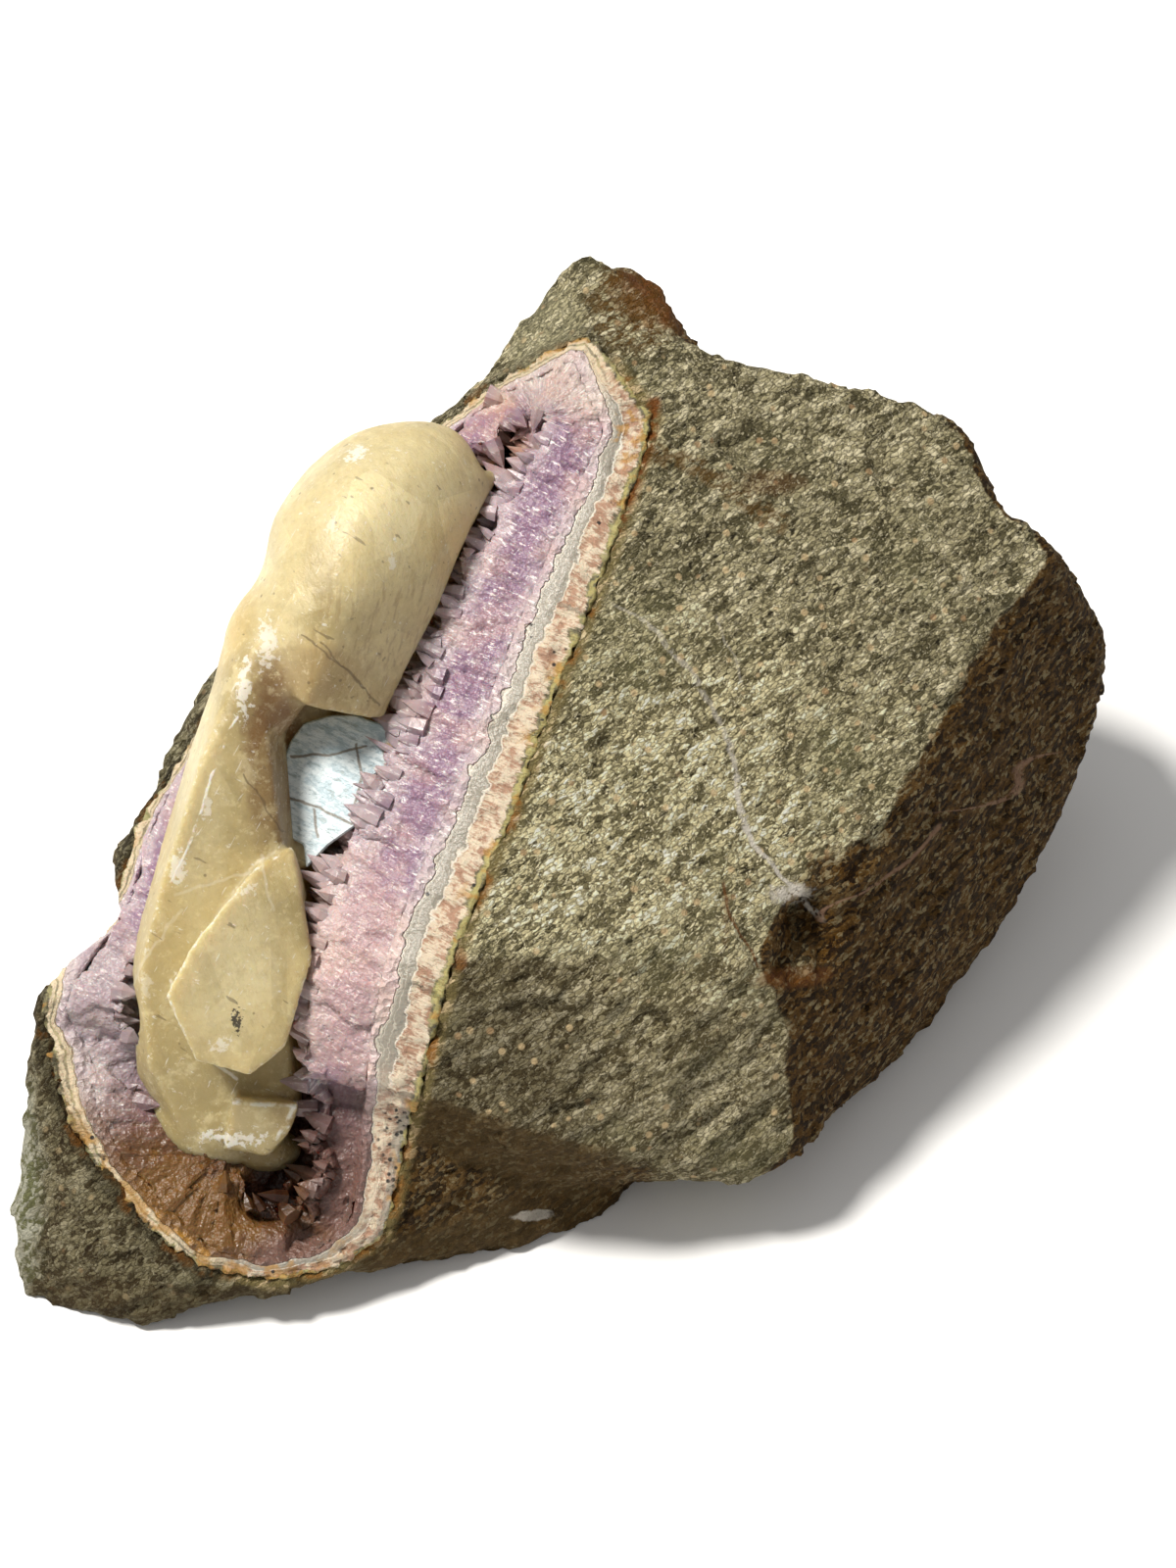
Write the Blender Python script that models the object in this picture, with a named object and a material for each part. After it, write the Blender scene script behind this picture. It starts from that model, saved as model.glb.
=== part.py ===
"""A broken piece of geode: basalt, its banded rind, the amethyst crust and the calcite grown in it.

Visible shapes are laid out on the broken face, in millimetres across it, up it and out of it.
The back and the underside are laid out on the ground, in millimetres right, back and up.
"""

import math

import bmesh
import bpy
from mathutils import Vector, noise

MM = 0.001
FACE_LIFT = math.radians(50)
FACE_HEIGHT = 52.0
GAP = 0.3

# The rock before the pocket is hollowed out of it: lumps that are fused into one.
BLOCK_FACE = (
    (6, 68, -2), (18, 67, -5), (35, 60.5, -6), (50, 59.5, -8), (56, 57, -8), (64, 48.5, -6),
    (64.5, 42, -5), (72.5, 35.5, -4), (60, 22, 2), (50, 10, 5), (50.5, 1.5, 6), (40, -12, 10),
    (29, -15.5, 12), (25.5, -25.5, 16), (-6, -22.5, 22), (-19, -27, 20),
)
BLOCK_FRONT = (
    (29.5, -38.5, 10), (28, -49, 6), (30, -58, 2), (25.5, -60, 3), (15, -57.5, 6),
    (8, -57.5, 8), (-6, -53, 14), (-25, -47, 16), (-45, -40, 14),
)
BLOCK_SIDE = (
    (77.5, 28, -20), (84.5, 22, -30), (82, 15, -32), (81.5, 8, -33), (75.5, -5, -34),
    (71.5, -16, -36), (61, -30, -34), (53.5, -39.5, -30), (45, -46.5, -22), (38.5, -52, -14),
)
BLOCK_RIM = (
    (-24, 30, 5), (-29, 8, 8), (-38, -15, 12), (-43, -30, 15), (-85, -33.5, 5), (-74, -17, 0),
    (-74, -10, -2), (-69, -3, -4), (-64, 3, -5), (-55, 17, -7), (-45, 34, -9), (-31, 52, -11),
    (-18, 61, -9), (0, 71, -3),
)
BLOCK_BACK = (
    (-69, 12, 33), (-61, 30, 40), (-50, 44, 50), (-42, 52, 58), (-22, 62, 60), (0, 70, 66),
    (25, 68, 60), (58, 60, 55), (80, 50, 40), (70, 52, 15), (48, 58, 0), (0, 64, 0),
    (-42, 54, 0), (-62, 28, 0), (-74, 0, 0), (-80, -22, 0), (62, 12, 0), (46, -12, 0),
    (26, -30, 0), (-10, -36, 0), (-45, -40, 0),
)
KNOB_FACE = (
    (-1, 82, -8), (8, 80.5, -14), (14, 72, -12), (18, 67.5, -8), (0, 71, -4), (-6, 77, -14),
    (-15, 64, -16), (-22, 57, -14), (8, 66, -4),
)
KNOB_BACK = ((-12, 66, 66), (10, 68, 66), (-24, 56, 62), (0, 50, 60))
FOOT_FACE = (
    (-84, -35.5, 5), (-86, -51, 0), (-88, -66.5, -4), (-88, -80, -2), (-70, -82, 2),
    (-54, -79, 2), (-57, -76, 9), (-67, -69, 10), (-76, -60, 10), (-82, -46, 8), (-46, -77, 7),
    (-38, -74, 6),
)
FOOT_BACK = ((-84, -30, 0), (-72, 0, 0), (-30, -20, 0), (-30, -50, 4), (-46, -58, 2), (-60, -20, 20))
LEDGE_FACE = (
    (-27, -47, 9), (-27, -55, 7), (-29, -66, 6), (-30, -73.5, -6), (-15, -71, -8), (2, -68.5, -12),
    (8, -60, -14), (-38, -74, 6), (-48, -60, 8), (-60, -50, 9), (-40, -45, 9), (8, -54, -6),
)
LEDGE_BACK = ((-30, -20, 0), (10, -20, 0), (-30, -52, 0), (4, -44, 0), (10, -34, 0), (-10, -20, 30))
# What broke away from the lumps: wedges given by their outline on the face, and how deep they reach.
NOTCHES = (
    (((-71, -20), (-73.5, -11), (-120, -11), (-120, -69)), (-90, 60)),
    (((-73.5, -11), (-63.5, 2.5), (-60, 8), (-120, 40), (-120, -11)), (-16, 60)),
    (((64.2, 41.5), (74, 36.3), (100, 50), (80, 80), (56.5, 57.5)), (-40, 60)),
    (((30, -17), (41, -15), (37, -27), (27, -29)), (9, 60)),
)
BELOW_GROUND = 3.0
ROCK_GRAIN = 1.7
ROCK_FACES = 2100
ROUGHNESS = ((20.0, 1.0), (7.0, 0.5))

# The pocket's wall, clockwise from the top: rim across, up and out, hollow across and up, rind share.
WALL = (
    (0, 69, -2, -7.5, 57, 0.28), (7, 64.5, -2, -6, 55.5, 0.32), (10, 58.5, -1, -6, 53, 0.4),
    (8, 49.5, 1, -8, 48, 0.45), (4, 37, 4, -15, 36.5, 0.45), (-1.5, 22, 7, -23, 20, 0.45),
    (-7.5, 6, 10, -27.5, 7, 0.45), (-13, -9, 13, -33, -6, 0.45), (-18.5, -22, 17, -38, -18, 0.45),
    (-22, -33.5, 16, -41.5, -30, 0.45), (-25, -45.5, 11, -41, -44, 0.47), (-28, -55, 8, -39.5, -54, 0.48),
    (-29.5, -65, 7, -40, -60, 0.45), (-33.5, -72, 7, -44, -65, 0.35), (-43, -75, 8, -49.5, -66.5, 0.25),
    (-55, -75, 9, -56, -63, 0.22), (-66, -67, 10, -61, -58, 0.22), (-74.5, -59, 10, -66.5, -51, 0.24),
    (-80.5, -46, 8, -70.5, -42, 0.28), (-83, -33.5, 5, -71.5, -32, 0.28), (-72, -18, 0, -65.5, -19, 0.28),
    (-67.5, -4.5, -3, -61, -2, 0.28), (-54, 16, -6, -47, 16, 0.3), (-44, 32, -8, -37, 31, 0.3),
    (-30, 50, -9, -24, 46, 0.3), (-16.5, 60, -7, -14.5, 54.5, 0.28), (-8, 66.5, -5, -10.5, 57.5, 0.28),
)
POCKET_AXIS = (-30.0, 35.0)
POCKET_LEVEL = 2.0
ROCK_DEPTH, RIND_DEPTH, HOLLOW_DEPTH = 40.0, 33.0, 23.0
FLOOR_SHARE, FLOOR_ROUNDING = 0.35, 1.6
TIP_UP, TIP_LENGTH, TIP_ROOM = 60.0, 6.0, 0.25
TURN_STEP = 0.002
SAMPLES_PER_ROW = 40
WALL_STEPS, WALL_RINGS = 48, 4
CRYSTALS_ROUND, CRYSTAL_ROWS_DOWN, CRYSTAL_ROWS_UP = 96, 9, 3
CRYSTAL_ROW = 2.7
CRYSTAL_HEIGHT, CRYSTAL_VARIETY, DEEP_LOSS = 3.2, 0.2, 1.5
CLEAR_OF_FACE = 60.0
SURROUND_SHARE, SURROUND_LIFT = 0.2, 1.2

# The calcite crystals, each given by its corners on the broken face.
ROUNDED_CRYSTAL = (
    (-36, 54, 2), (-22, 56, 0), (-15, 51, -6), (-10, 45, -8), (-38, 47, 14), (-27, 48, 15),
    (-17, 43, 6), (-44, 38, 16), (-33, 40, 21), (-22, 36, 12), (-48, 28, 18), (-37, 26, 23),
    (-25, 24, 10), (-52, 20, 16), (-42, 12, 19), (-33, 10, 12), (-28, 10, 2), (-43, 48, 0),
    (-49, 37, 0), (-53, 28, 2), (-56, 20, 4), (-32, 40, -14), (-20, 42, -16), (-26, 12, -20),
    (-42, 14, -18), (-19, 32, -14), (-54, 24, 12), (-47, 40, 10), (-29, 53, 8), (-20, 50, 8),
)
RIDGED_CRYSTAL = (
    (-49, 22, 20), (-53, 13, 20), (-58, 2, 19), (-63, -13, 17), (-67, -28, 14), (-66, -42, 11),
    (-61, -53, 7), (-57, 14, 8), (-61, 2, 6), (-66, -12, 4), (-71, -27, 2), (-72, -38, 0),
    (-70, -47, -1), (-65, -54, -2), (-57, -57, 0), (-52, -57, -1), (-48, -55, 0), (-44, -50, 2),
    (-46, 8, 8), (-46, -5, 7), (-45, -20, 7), (-43, -35, 8), (-44, -45, 8), (-48, 6, -18),
    (-56, -10, -16), (-60, -38, -12), (-46, -44, -12), (-42, -8, -14),
)
POINTED_CRYSTAL = (
    (-44, -9, 15), (-49, -12, 19), (-54, -18, 23), (-58.5, -24, 25), (-62, -31, 25),
    (-58, -41, 22), (-50, -43, 21), (-45, -39, 19), (-41, -26, 17), (-43, -14, 17),
    (-60, -35, 4), (-52, -41, 2), (-44, -36, 2), (-42, -20, 0), (-48, -12, 0),
)
LOW_BLOCK = (
    (-53, -47, 14), (-43.5, -48, 12), (-45, -52, 11), (-48.5, -56, 9), (-55, -55, 9),
    (-54, -46, -5), (-44, -48, -5), (-48, -56, -4),
)
BROKEN_STUMP = (
    (-43, 10, 2), (-39, 12, 2), (-34, 11, 2), (-30, 9, 2), (-27, 5, 3), (-30, -1, 4), (-34, -7, 5),
    (-39, -10, 6), (-43, -13, 7), (-48, -8, 6), (-48, 3, 3), (-46, 7, 2.5), (-40, 8, -15),
    (-37, 0, -12), (-45, -4, -14),
)


def face_point(point):
    """Metres in the world for a point given across, up and out of the broken face."""
    across, up, out = point
    back = up * math.sin(FACE_LIFT) - out * math.cos(FACE_LIFT)
    high = FACE_HEIGHT + up * math.cos(FACE_LIFT) + out * math.sin(FACE_LIFT)
    return Vector((across, back, high)) * MM


def ground_point(point):
    """Metres in the world for a point given right, back and up. One on the ground goes under it."""
    across, back, up = point
    return Vector((across, back, up or -BELOW_GROUND)) * MM


def new_object(name, bm):
    """A mesh object made of a bmesh, with its normals pointing out."""
    bmesh.ops.recalc_face_normals(bm, faces=bm.faces)
    mesh = bpy.data.meshes.new(name)
    bm.to_mesh(mesh)
    bm.free()
    obj = bpy.data.objects.new(name, mesh)
    bpy.context.scene.collection.objects.link(obj)
    return obj


def discard(obj):
    bpy.data.objects.remove(obj, do_unlink=True)


def shape(obj, kind, **settings):
    """Runs one modifier on an object and keeps its result as the object's mesh."""
    modifier = obj.modifiers.new(kind, kind)
    for setting, value in settings.items():
        setattr(modifier, setting, value)
    graph = bpy.context.evaluated_depsgraph_get()
    result = bpy.data.meshes.new_from_object(obj.evaluated_get(graph))
    obj.modifiers.clear()
    obj.data = result


def combine(obj, other, operation):
    shape(obj, "BOOLEAN", object=other, operation=operation, solver="EXACT")


def copy_of(obj, name):
    twin = bpy.data.objects.new(name, obj.data.copy())
    bpy.context.scene.collection.objects.link(twin)
    return twin


def add_hull(bm, points):
    """Adds the flat-sided solid that wraps the given points."""
    corners = [bm.verts.new(point) for point in points]
    made = bmesh.ops.convex_hull(bm, input=corners)
    spare = {item for item in made["geom_unused"] + made["geom_interior"]}
    bmesh.ops.delete(bm, geom=list(spare), context="VERTS")


def keep_main_body(obj):
    """Drops the crumbs that a cut leaves beside the main body."""
    bm = bmesh.new()
    bm.from_mesh(obj.data)
    left = set(bm.verts)
    bodies = []
    while left:
        body, edge = set(), [next(iter(left))]
        while edge:
            vert = edge.pop()
            if vert in body:
                continue
            body.add(vert)
            edge.extend(link.other_vert(vert) for link in vert.link_edges)
        left -= body
        bodies.append(body)
    bodies.sort(key=len)
    crumbs = [vert for body in bodies[:-1] for vert in body]
    bmesh.ops.delete(bm, geom=crumbs, context="VERTS")
    bm.to_mesh(obj.data)
    bm.free()


def hull_object(name, on_face, on_ground=()):
    """A flat-sided solid that wraps points given on the broken face and on the ground."""
    bm = bmesh.new()
    add_hull(bm, [face_point(point) for point in on_face] + [ground_point(point) for point in on_ground])
    return new_object(name, bm)


def make_rock():
    """The whole rock before the pocket: fused lumps, notched, roughened into facets, flat below."""
    rock = hull_object("rock", BLOCK_FACE + BLOCK_FRONT + BLOCK_SIDE + BLOCK_RIM, BLOCK_BACK)
    for lump in ((KNOB_FACE, KNOB_BACK), (FOOT_FACE, FOOT_BACK), (LEDGE_FACE, LEDGE_BACK)):
        added = hull_object("lump", *lump)
        combine(rock, added, "UNION")
        discard(added)
    for outline, (inner, outer) in NOTCHES:
        wedge = hull_object("wedge", [(*spot, out) for spot in outline for out in (inner, outer)])
        combine(rock, wedge, "DIFFERENCE")
        discard(wedge)
    shape(rock, "REMESH", mode="VOXEL", voxel_size=ROCK_GRAIN * MM)
    outward = [vert.normal.copy() for vert in rock.data.vertices]
    for vert, normal in zip(rock.data.vertices, outward):
        rise = sum(noise.noise(vert.co / (length * MM)) * height for length, height in ROUGHNESS)
        vert.co += normal * rise * MM
    triangles = sum(len(face.vertices) - 2 for face in rock.data.polygons)
    shape(rock, "DECIMATE", ratio=ROCK_FACES / triangles)
    floor = bmesh.new()
    bmesh.ops.create_cube(floor, size=1.0)
    bmesh.ops.translate(floor, verts=floor.verts, vec=(0, 0, -0.5))
    below = new_object("below", floor)
    combine(rock, below, "DIFFERENCE")
    discard(below)
    keep_main_body(rock)
    return rock


def wall_at(turn):
    """The row of WALL at a fraction of a turn, on a smooth closed curve through all rows."""
    place = (turn % 1.0) * len(WALL)
    first = int(place)
    t = place - first
    rows = [WALL[(first + step) % len(WALL)] for step in (-1, 0, 1, 2)]
    return [
        0.5 * (2 * b + (c - a) * t + (2 * a - 5 * b + 4 * c - d) * t**2 + (3 * b - a - 3 * c + d) * t**3)
        for a, b, c, d in zip(*rows)
    ]


def even_turns(count, offset=0.0):
    """Fractions of a turn that are evenly spaced along the hollow's outline."""
    samples = SAMPLES_PER_ROW * len(WALL)
    rows = [wall_at(step / samples) for step in range(samples + 1)]
    travelled = [0.0]
    for before, after in zip(rows, rows[1:]):
        travelled.append(travelled[-1] + math.dist(before[3:5], after[3:5]))
    turns, place = [], 0
    for step in range(count):
        wanted = travelled[-1] * ((step + offset) % count) / count
        if wanted < travelled[place]:
            place = 0
        while travelled[place + 1] < wanted:
            place += 1
        share = (wanted - travelled[place]) / (travelled[place + 1] - travelled[place])
        turns.append((place + share) / samples)
    return turns


def ring(turns, share, depth, inward, sink):
    """Points of one ring of the pocket's wall.

    share runs from the rim (0) to the hollow (1), or is None for the rind's inner side. sink runs
    from the broken face (0) to the pocket's floor (1), and is negative above the face.
    """
    points = []
    for turn in turns:
        rim_across, rim_up, out, hollow_across, hollow_up, rind_share = wall_at(turn)
        part = rind_share if share is None else share
        spot = Vector((rim_across, rim_up)).lerp(Vector((hollow_across, hollow_up)), part)
        ahead, behind = wall_at(turn + TURN_STEP), wall_at(turn - TURN_STEP)
        along = Vector(ahead[3:5]) - Vector(behind[3:5])
        room = min(max((TIP_UP - hollow_up) / TIP_LENGTH, TIP_ROOM), 1.0)
        spot += Vector((along.y, -along.x)).normalized() * inward * room
        down = max(sink, 0.0)
        narrow = 1 - (1 - FLOOR_SHARE) * down**FLOOR_ROUNDING
        axis = Vector(POCKET_AXIS)
        spot = axis + (spot - axis) * narrow
        level = out + (POCKET_LEVEL - out) * down
        points.append(face_point((spot.x, spot.y, level - sink * depth)))
    return points


def pocket(name, share, depth, inward=0.0):
    """A smooth plug that fills the pocket out to one of its layers, and reaches clear of the face."""
    turns = even_turns(WALL_STEPS)
    bm = bmesh.new()
    sinks = [-CLEAR_OF_FACE / depth] + [step / WALL_RINGS for step in range(WALL_RINGS + 1)]
    rings = []
    for sink in sinks:
        rings.append([bm.verts.new(point) for point in ring(turns, share, depth - inward, inward, sink)])
    for upper, lower in zip(rings, rings[1:]):
        for step in range(WALL_STEPS):
            after = (step + 1) % WALL_STEPS
            bm.faces.new((upper[step], upper[after], lower[after], lower[step]))
    bm.faces.new(rings[0])
    bm.faces.new(rings[-1])
    bmesh.ops.triangulate(bm, faces=bm.faces)
    return new_object(name, bm)


def crystal_hollow():
    """The hollow as a plug whose side is dented by six-sided crystal points."""
    bm = bmesh.new()
    rows = range(-CRYSTAL_ROWS_UP, CRYSTAL_ROWS_DOWN + 1)
    rings, peaks = [], []
    for row in rows:
        turns = even_turns(CRYSTALS_ROUND, 0.5 * row)
        sink = row * CRYSTAL_ROW / HOLLOW_DEPTH
        if sink > 0:
            sink = min(sink, 1.0)
        points = ring(turns, 1.0, HOLLOW_DEPTH, 0.0, sink)
        rings.append([bm.verts.new(point) for point in points])
        if row not in (rows[0], rows[-1]):
            height = CRYSTAL_HEIGHT * min(max(1 - DEEP_LOSS * sink, 0.0), 1.0)
            peaks.extend((vert, height) for vert in rings[-1][(row % 3)::3])
    for upper, lower in zip(rings, rings[1:]):
        for step in range(CRYSTALS_ROUND):
            after = (step + 1) % CRYSTALS_ROUND
            bm.faces.new((upper[step], upper[after], lower[step]))
            bm.faces.new((upper[after], lower[after], lower[step]))
    turns = even_turns(CRYSTALS_ROUND, -0.5 * CRYSTAL_ROWS_UP)
    crown = ring(turns, 1.0, HOLLOW_DEPTH, 0.0, -CLEAR_OF_FACE / HOLLOW_DEPTH)
    crown = [bm.verts.new(point) for point in crown]
    for step in range(CRYSTALS_ROUND):
        after = (step + 1) % CRYSTALS_ROUND
        bm.faces.new((crown[step], crown[after], rings[0][after], rings[0][step]))
    bm.faces.new(crown)
    bm.faces.new(rings[-1])
    bmesh.ops.triangulate(bm, faces=bm.faces)
    bmesh.ops.recalc_face_normals(bm, faces=bm.faces)
    bm.normal_update()
    for vert, height in peaks:
        vary = 1 + CRYSTAL_VARIETY * (2 * noise.cell(vert.co / MM) - 1)
        vert.co -= vert.normal * height * vary * MM
    return new_object("hollow", bm)


def make_calcite(rock, envelope):
    """The intergrown crystals, freed from the rock and its crust by a thin gap."""
    crystals = (ROUNDED_CRYSTAL, RIDGED_CRYSTAL, POINTED_CRYSTAL, LOW_BLOCK, BROKEN_STUMP)
    calcite = hull_object("calcite", crystals[0])
    for corners in crystals[1:]:
        crystal = hull_object("crystal", corners)
        combine(calcite, crystal, "UNION")
        discard(crystal)
    surround = copy_of(rock, "surround")
    shape(surround, "DECIMATE", ratio=SURROUND_SHARE)
    lift = face_point((0, 0, SURROUND_LIFT)) - face_point((0, 0, 0))
    for vert in surround.data.vertices:
        vert.co += lift
    combine(surround, envelope, "DIFFERENCE")
    combine(calcite, surround, "DIFFERENCE")
    discard(surround)
    keep_main_body(calcite)
    return calcite


def finish_node(obj, name, colour, roughness):
    """Names a finished node and gives it its plain material."""
    obj.name = obj.data.name = name
    material = bpy.data.materials.new(name)
    material.use_nodes = True
    surface = material.node_tree.nodes["Principled BSDF"]
    surface.inputs["Base Color"].default_value = (*colour, 1.0)
    surface.inputs["Roughness"].default_value = roughness
    surface.inputs["Metallic"].default_value = 0.0
    obj.data.materials.clear()
    obj.data.materials.append(material)


def stand_on_origin(objects):
    """Moves the whole specimen so that the middle of its underside is at the origin."""
    corners = [vert.co for obj in objects for vert in obj.data.vertices]
    low = Vector([min(corner[axis] for corner in corners) for axis in range(3)])
    high = Vector([max(corner[axis] for corner in corners) for axis in range(3)])
    shift = Vector(((low.x + high.x) / 2, (low.y + high.y) / 2, low.z))
    for obj in objects:
        for vert in obj.data.vertices:
            vert.co -= shift
    print("moved by", [round(-value / MM, 2) for value in shift], "mm")


def main():
    for obj in list(bpy.data.objects):
        bpy.data.objects.remove(obj, do_unlink=True)
    rock = make_rock()
    basalt, rind, amethyst = (copy_of(rock, name) for name in ("basalt", "rind", "amethyst"))
    rock_pocket = pocket("rock_pocket", 0.0, ROCK_DEPTH)
    rind_outside = pocket("rind_outside", 0.0, ROCK_DEPTH, GAP)
    rind_inside = pocket("rind_inside", None, RIND_DEPTH)
    crust_outside = pocket("crust_outside", None, RIND_DEPTH, GAP)
    envelope = pocket("envelope", 1.0, HOLLOW_DEPTH, CRYSTAL_HEIGHT * (1 + CRYSTAL_VARIETY) + GAP)
    hollow = crystal_hollow()
    combine(basalt, rock_pocket, "DIFFERENCE")
    combine(rind, rind_outside, "INTERSECT")
    combine(rind, rind_inside, "DIFFERENCE")
    combine(amethyst, crust_outside, "INTERSECT")
    combine(amethyst, hollow, "DIFFERENCE")
    calcite = make_calcite(rock, envelope)
    for helper in (rock, rock_pocket, rind_outside, rind_inside, crust_outside, envelope, hollow):
        discard(helper)
    for obj in (basalt, rind, amethyst):
        keep_main_body(obj)
    finish_node(basalt, "basalt_matrix", (0.19, 0.18, 0.13), 0.9)
    finish_node(rind, "chalcedony_rind", (0.68, 0.55, 0.46), 0.55)
    finish_node(amethyst, "amethyst_crust", (0.42, 0.30, 0.44), 0.25)
    finish_node(calcite, "calcite_crystals", (0.62, 0.53, 0.32), 0.3)
    stand_on_origin((basalt, rind, amethyst, calcite))


main()
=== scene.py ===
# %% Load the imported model
import math

import bmesh
import bpy
import numpy as np
from mathutils import Matrix, Vector, noise
from mathutils.bvhtree import BVHTree


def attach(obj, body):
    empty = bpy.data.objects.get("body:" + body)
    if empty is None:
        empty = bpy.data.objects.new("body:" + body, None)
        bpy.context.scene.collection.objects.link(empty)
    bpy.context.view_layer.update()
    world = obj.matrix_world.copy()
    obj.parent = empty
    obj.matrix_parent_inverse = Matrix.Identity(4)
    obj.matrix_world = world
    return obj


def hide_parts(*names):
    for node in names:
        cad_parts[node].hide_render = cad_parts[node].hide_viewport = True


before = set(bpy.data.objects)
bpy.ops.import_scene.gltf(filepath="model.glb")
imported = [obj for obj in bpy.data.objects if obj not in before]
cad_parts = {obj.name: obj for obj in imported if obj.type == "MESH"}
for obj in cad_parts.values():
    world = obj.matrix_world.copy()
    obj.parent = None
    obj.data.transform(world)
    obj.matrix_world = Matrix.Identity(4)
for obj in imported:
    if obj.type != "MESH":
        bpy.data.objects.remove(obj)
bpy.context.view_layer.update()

MM = 0.001
print("nodes", sorted(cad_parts))

# %% [markdown]
# The specimen is a broken piece of a rock cavity. Its broken face leans back, and the camera looks
# straight at it. Everything that is placed one by one (a vein, a stain, a chip) is easiest to give on that
# face: millimetres across it, up it and out of it. Two small functions turn such a point into the
# world and back, and the materials use the same directions through a Mapping node.

# %% The broken face as a frame of its own
FACE_TILT = math.radians(40)
FACE_MIDDLE = Vector((2.26, -3.06, 52.0)) * MM
FACE_TO_WORLD = Matrix.Translation(FACE_MIDDLE) @ Matrix.Rotation(FACE_TILT, 4, "X")
WORLD_TO_FACE = FACE_TO_WORLD.inverted()
FACE_TURN = FACE_TO_WORLD.to_3x3()
WORLD_TURN = WORLD_TO_FACE.to_3x3()


def on_face(across, up, out):
    """The world point for millimetres across, up and out of the broken face."""
    return FACE_TO_WORLD @ (Vector((across, up, out)) * MM)


def face_place(point):
    """Millimetres across, up and out of the broken face for a world point."""
    return (WORLD_TO_FACE @ point) / MM


def stand(place, radii, spin=0, tip=0):
    """A matrix that sets a body at a place on the face: its half sizes, then degrees round z and y."""
    turns = Matrix.Rotation(math.radians(spin), 4, "Z") @ Matrix.Rotation(math.radians(tip), 4, "Y")
    return Matrix.Translation(on_face(*place)) @ FACE_TURN.to_4x4() @ turns @ Matrix.Diagonal((*radii, 1))


print("face middle", [round(value / MM, 1) for value in on_face(0, 0, 0)], "mm")

# %% [markdown]
# Camera and light. The photograph looks along the normal of the broken face from far enough away that
# there is little perspective, so a long lens is used. One large soft lamp stands high over the specimen,
# a little to the left: it grazes the leaning face, which brings out the grain, and leaves the steep
# right side in shade. A pale sky fills the shadows.

# %% Camera, light and floor
CAMERA_DISTANCE = 0.6
CAMERA_LENS = 90.0
SENSOR = 36.0
KEY_DIRECTION = Vector((-0.42, 0.02, 0.905)).normalized()
KEY_DISTANCE = 1.3
KEY_SIZE = 0.3
KEY_POWER = 25.0
FILL_POWER = 0.42
SKY = (0.985, 0.97, 0.95)
FLOOR_SIZE = 6.0
FLOOR_COLOUR = (0.93, 0.93, 0.925)
FLOOR_SHADE = (0.91605, 0.91605, 0.911125)


def aimed(obj, place, target, upward):
    """Puts a camera or lamp at a place and points it at the target."""
    back = (place - target).normalized()
    side = upward.cross(back).normalized()
    turn = Matrix((side, back.cross(side), back)).transposed()
    obj.matrix_world = Matrix.Translation(place) @ turn.to_4x4()


def linked(name, data):
    """A new object with this data, in the scene."""
    obj = bpy.data.objects.new(name, data)
    bpy.context.scene.collection.objects.link(obj)
    return obj


def mesh_of(bm, name):
    """The finished mesh of a bmesh, which is freed."""
    mesh = bpy.data.meshes.new(name)
    bm.to_mesh(mesh)
    bm.free()
    return mesh


camera = linked("camera", bpy.data.cameras.new("camera"))
camera.data.lens = CAMERA_LENS
camera.data.sensor_width = SENSOR
camera.data.clip_start = 0.01
aimed(camera, on_face(0, 0, CAMERA_DISTANCE / MM), FACE_MIDDLE, on_face(0, 1, 0) - FACE_MIDDLE)
bpy.context.scene.camera = camera

key = linked("key_light", bpy.data.lights.new("key_light", "AREA"))
key.data.shape = "DISK"
key.data.size = KEY_SIZE
key.data.energy = KEY_POWER
key.data.color = (1.0, 0.965, 0.91)
aimed(key, FACE_MIDDLE + KEY_DIRECTION * KEY_DISTANCE, FACE_MIDDLE, Vector((0, 0, 1)))

world = bpy.data.worlds.new("studio")
bpy.context.scene.world = world
world.use_nodes = True
world.node_tree.nodes["Background"].inputs["Color"].default_value = (*SKY, 1)
world.node_tree.nodes["Background"].inputs["Strength"].default_value = FILL_POWER
bpy.context.scene.view_settings.view_transform = "Standard"

floor_bm = bmesh.new()
bmesh.ops.create_grid(floor_bm, x_segments=1, y_segments=1, size=FLOOR_SIZE / 2)
floor = linked("floor", mesh_of(floor_bm, "floor"))
print("camera at", [round(value, 3) for value in camera.matrix_world.translation])

# %% [markdown]
# Materials are node trees. Writing them as sums keeps them short: the class Wire holds a socket and
# overloads the operators, so `1 - mask * 0.5` adds the Math nodes by itself. The class Finish holds one
# material, and its method `node` adds any other node: first its settings, then the values or links
# of its sockets.

# %% A small language for shader maths
RIM_SLOPE = 0.42
RIM_OFFSET = 31.5


class Wire:
    """A node's output socket that can be used in sums."""

    def __init__(self, finish, socket):
        self.finish = finish
        self.socket = socket

    def __add__(self, other):
        return self.finish.maths("ADD", self, other)

    def __sub__(self, other):
        return self.finish.maths("SUBTRACT", self, other)

    def __mul__(self, other):
        return self.finish.maths("MULTIPLY", self, other)

    def __truediv__(self, other):
        return self.finish.maths("DIVIDE", self, other)

    def __rsub__(self, other):
        return self.finish.maths("SUBTRACT", other, self)

    __radd__ = __add__
    __rmul__ = __mul__


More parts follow.
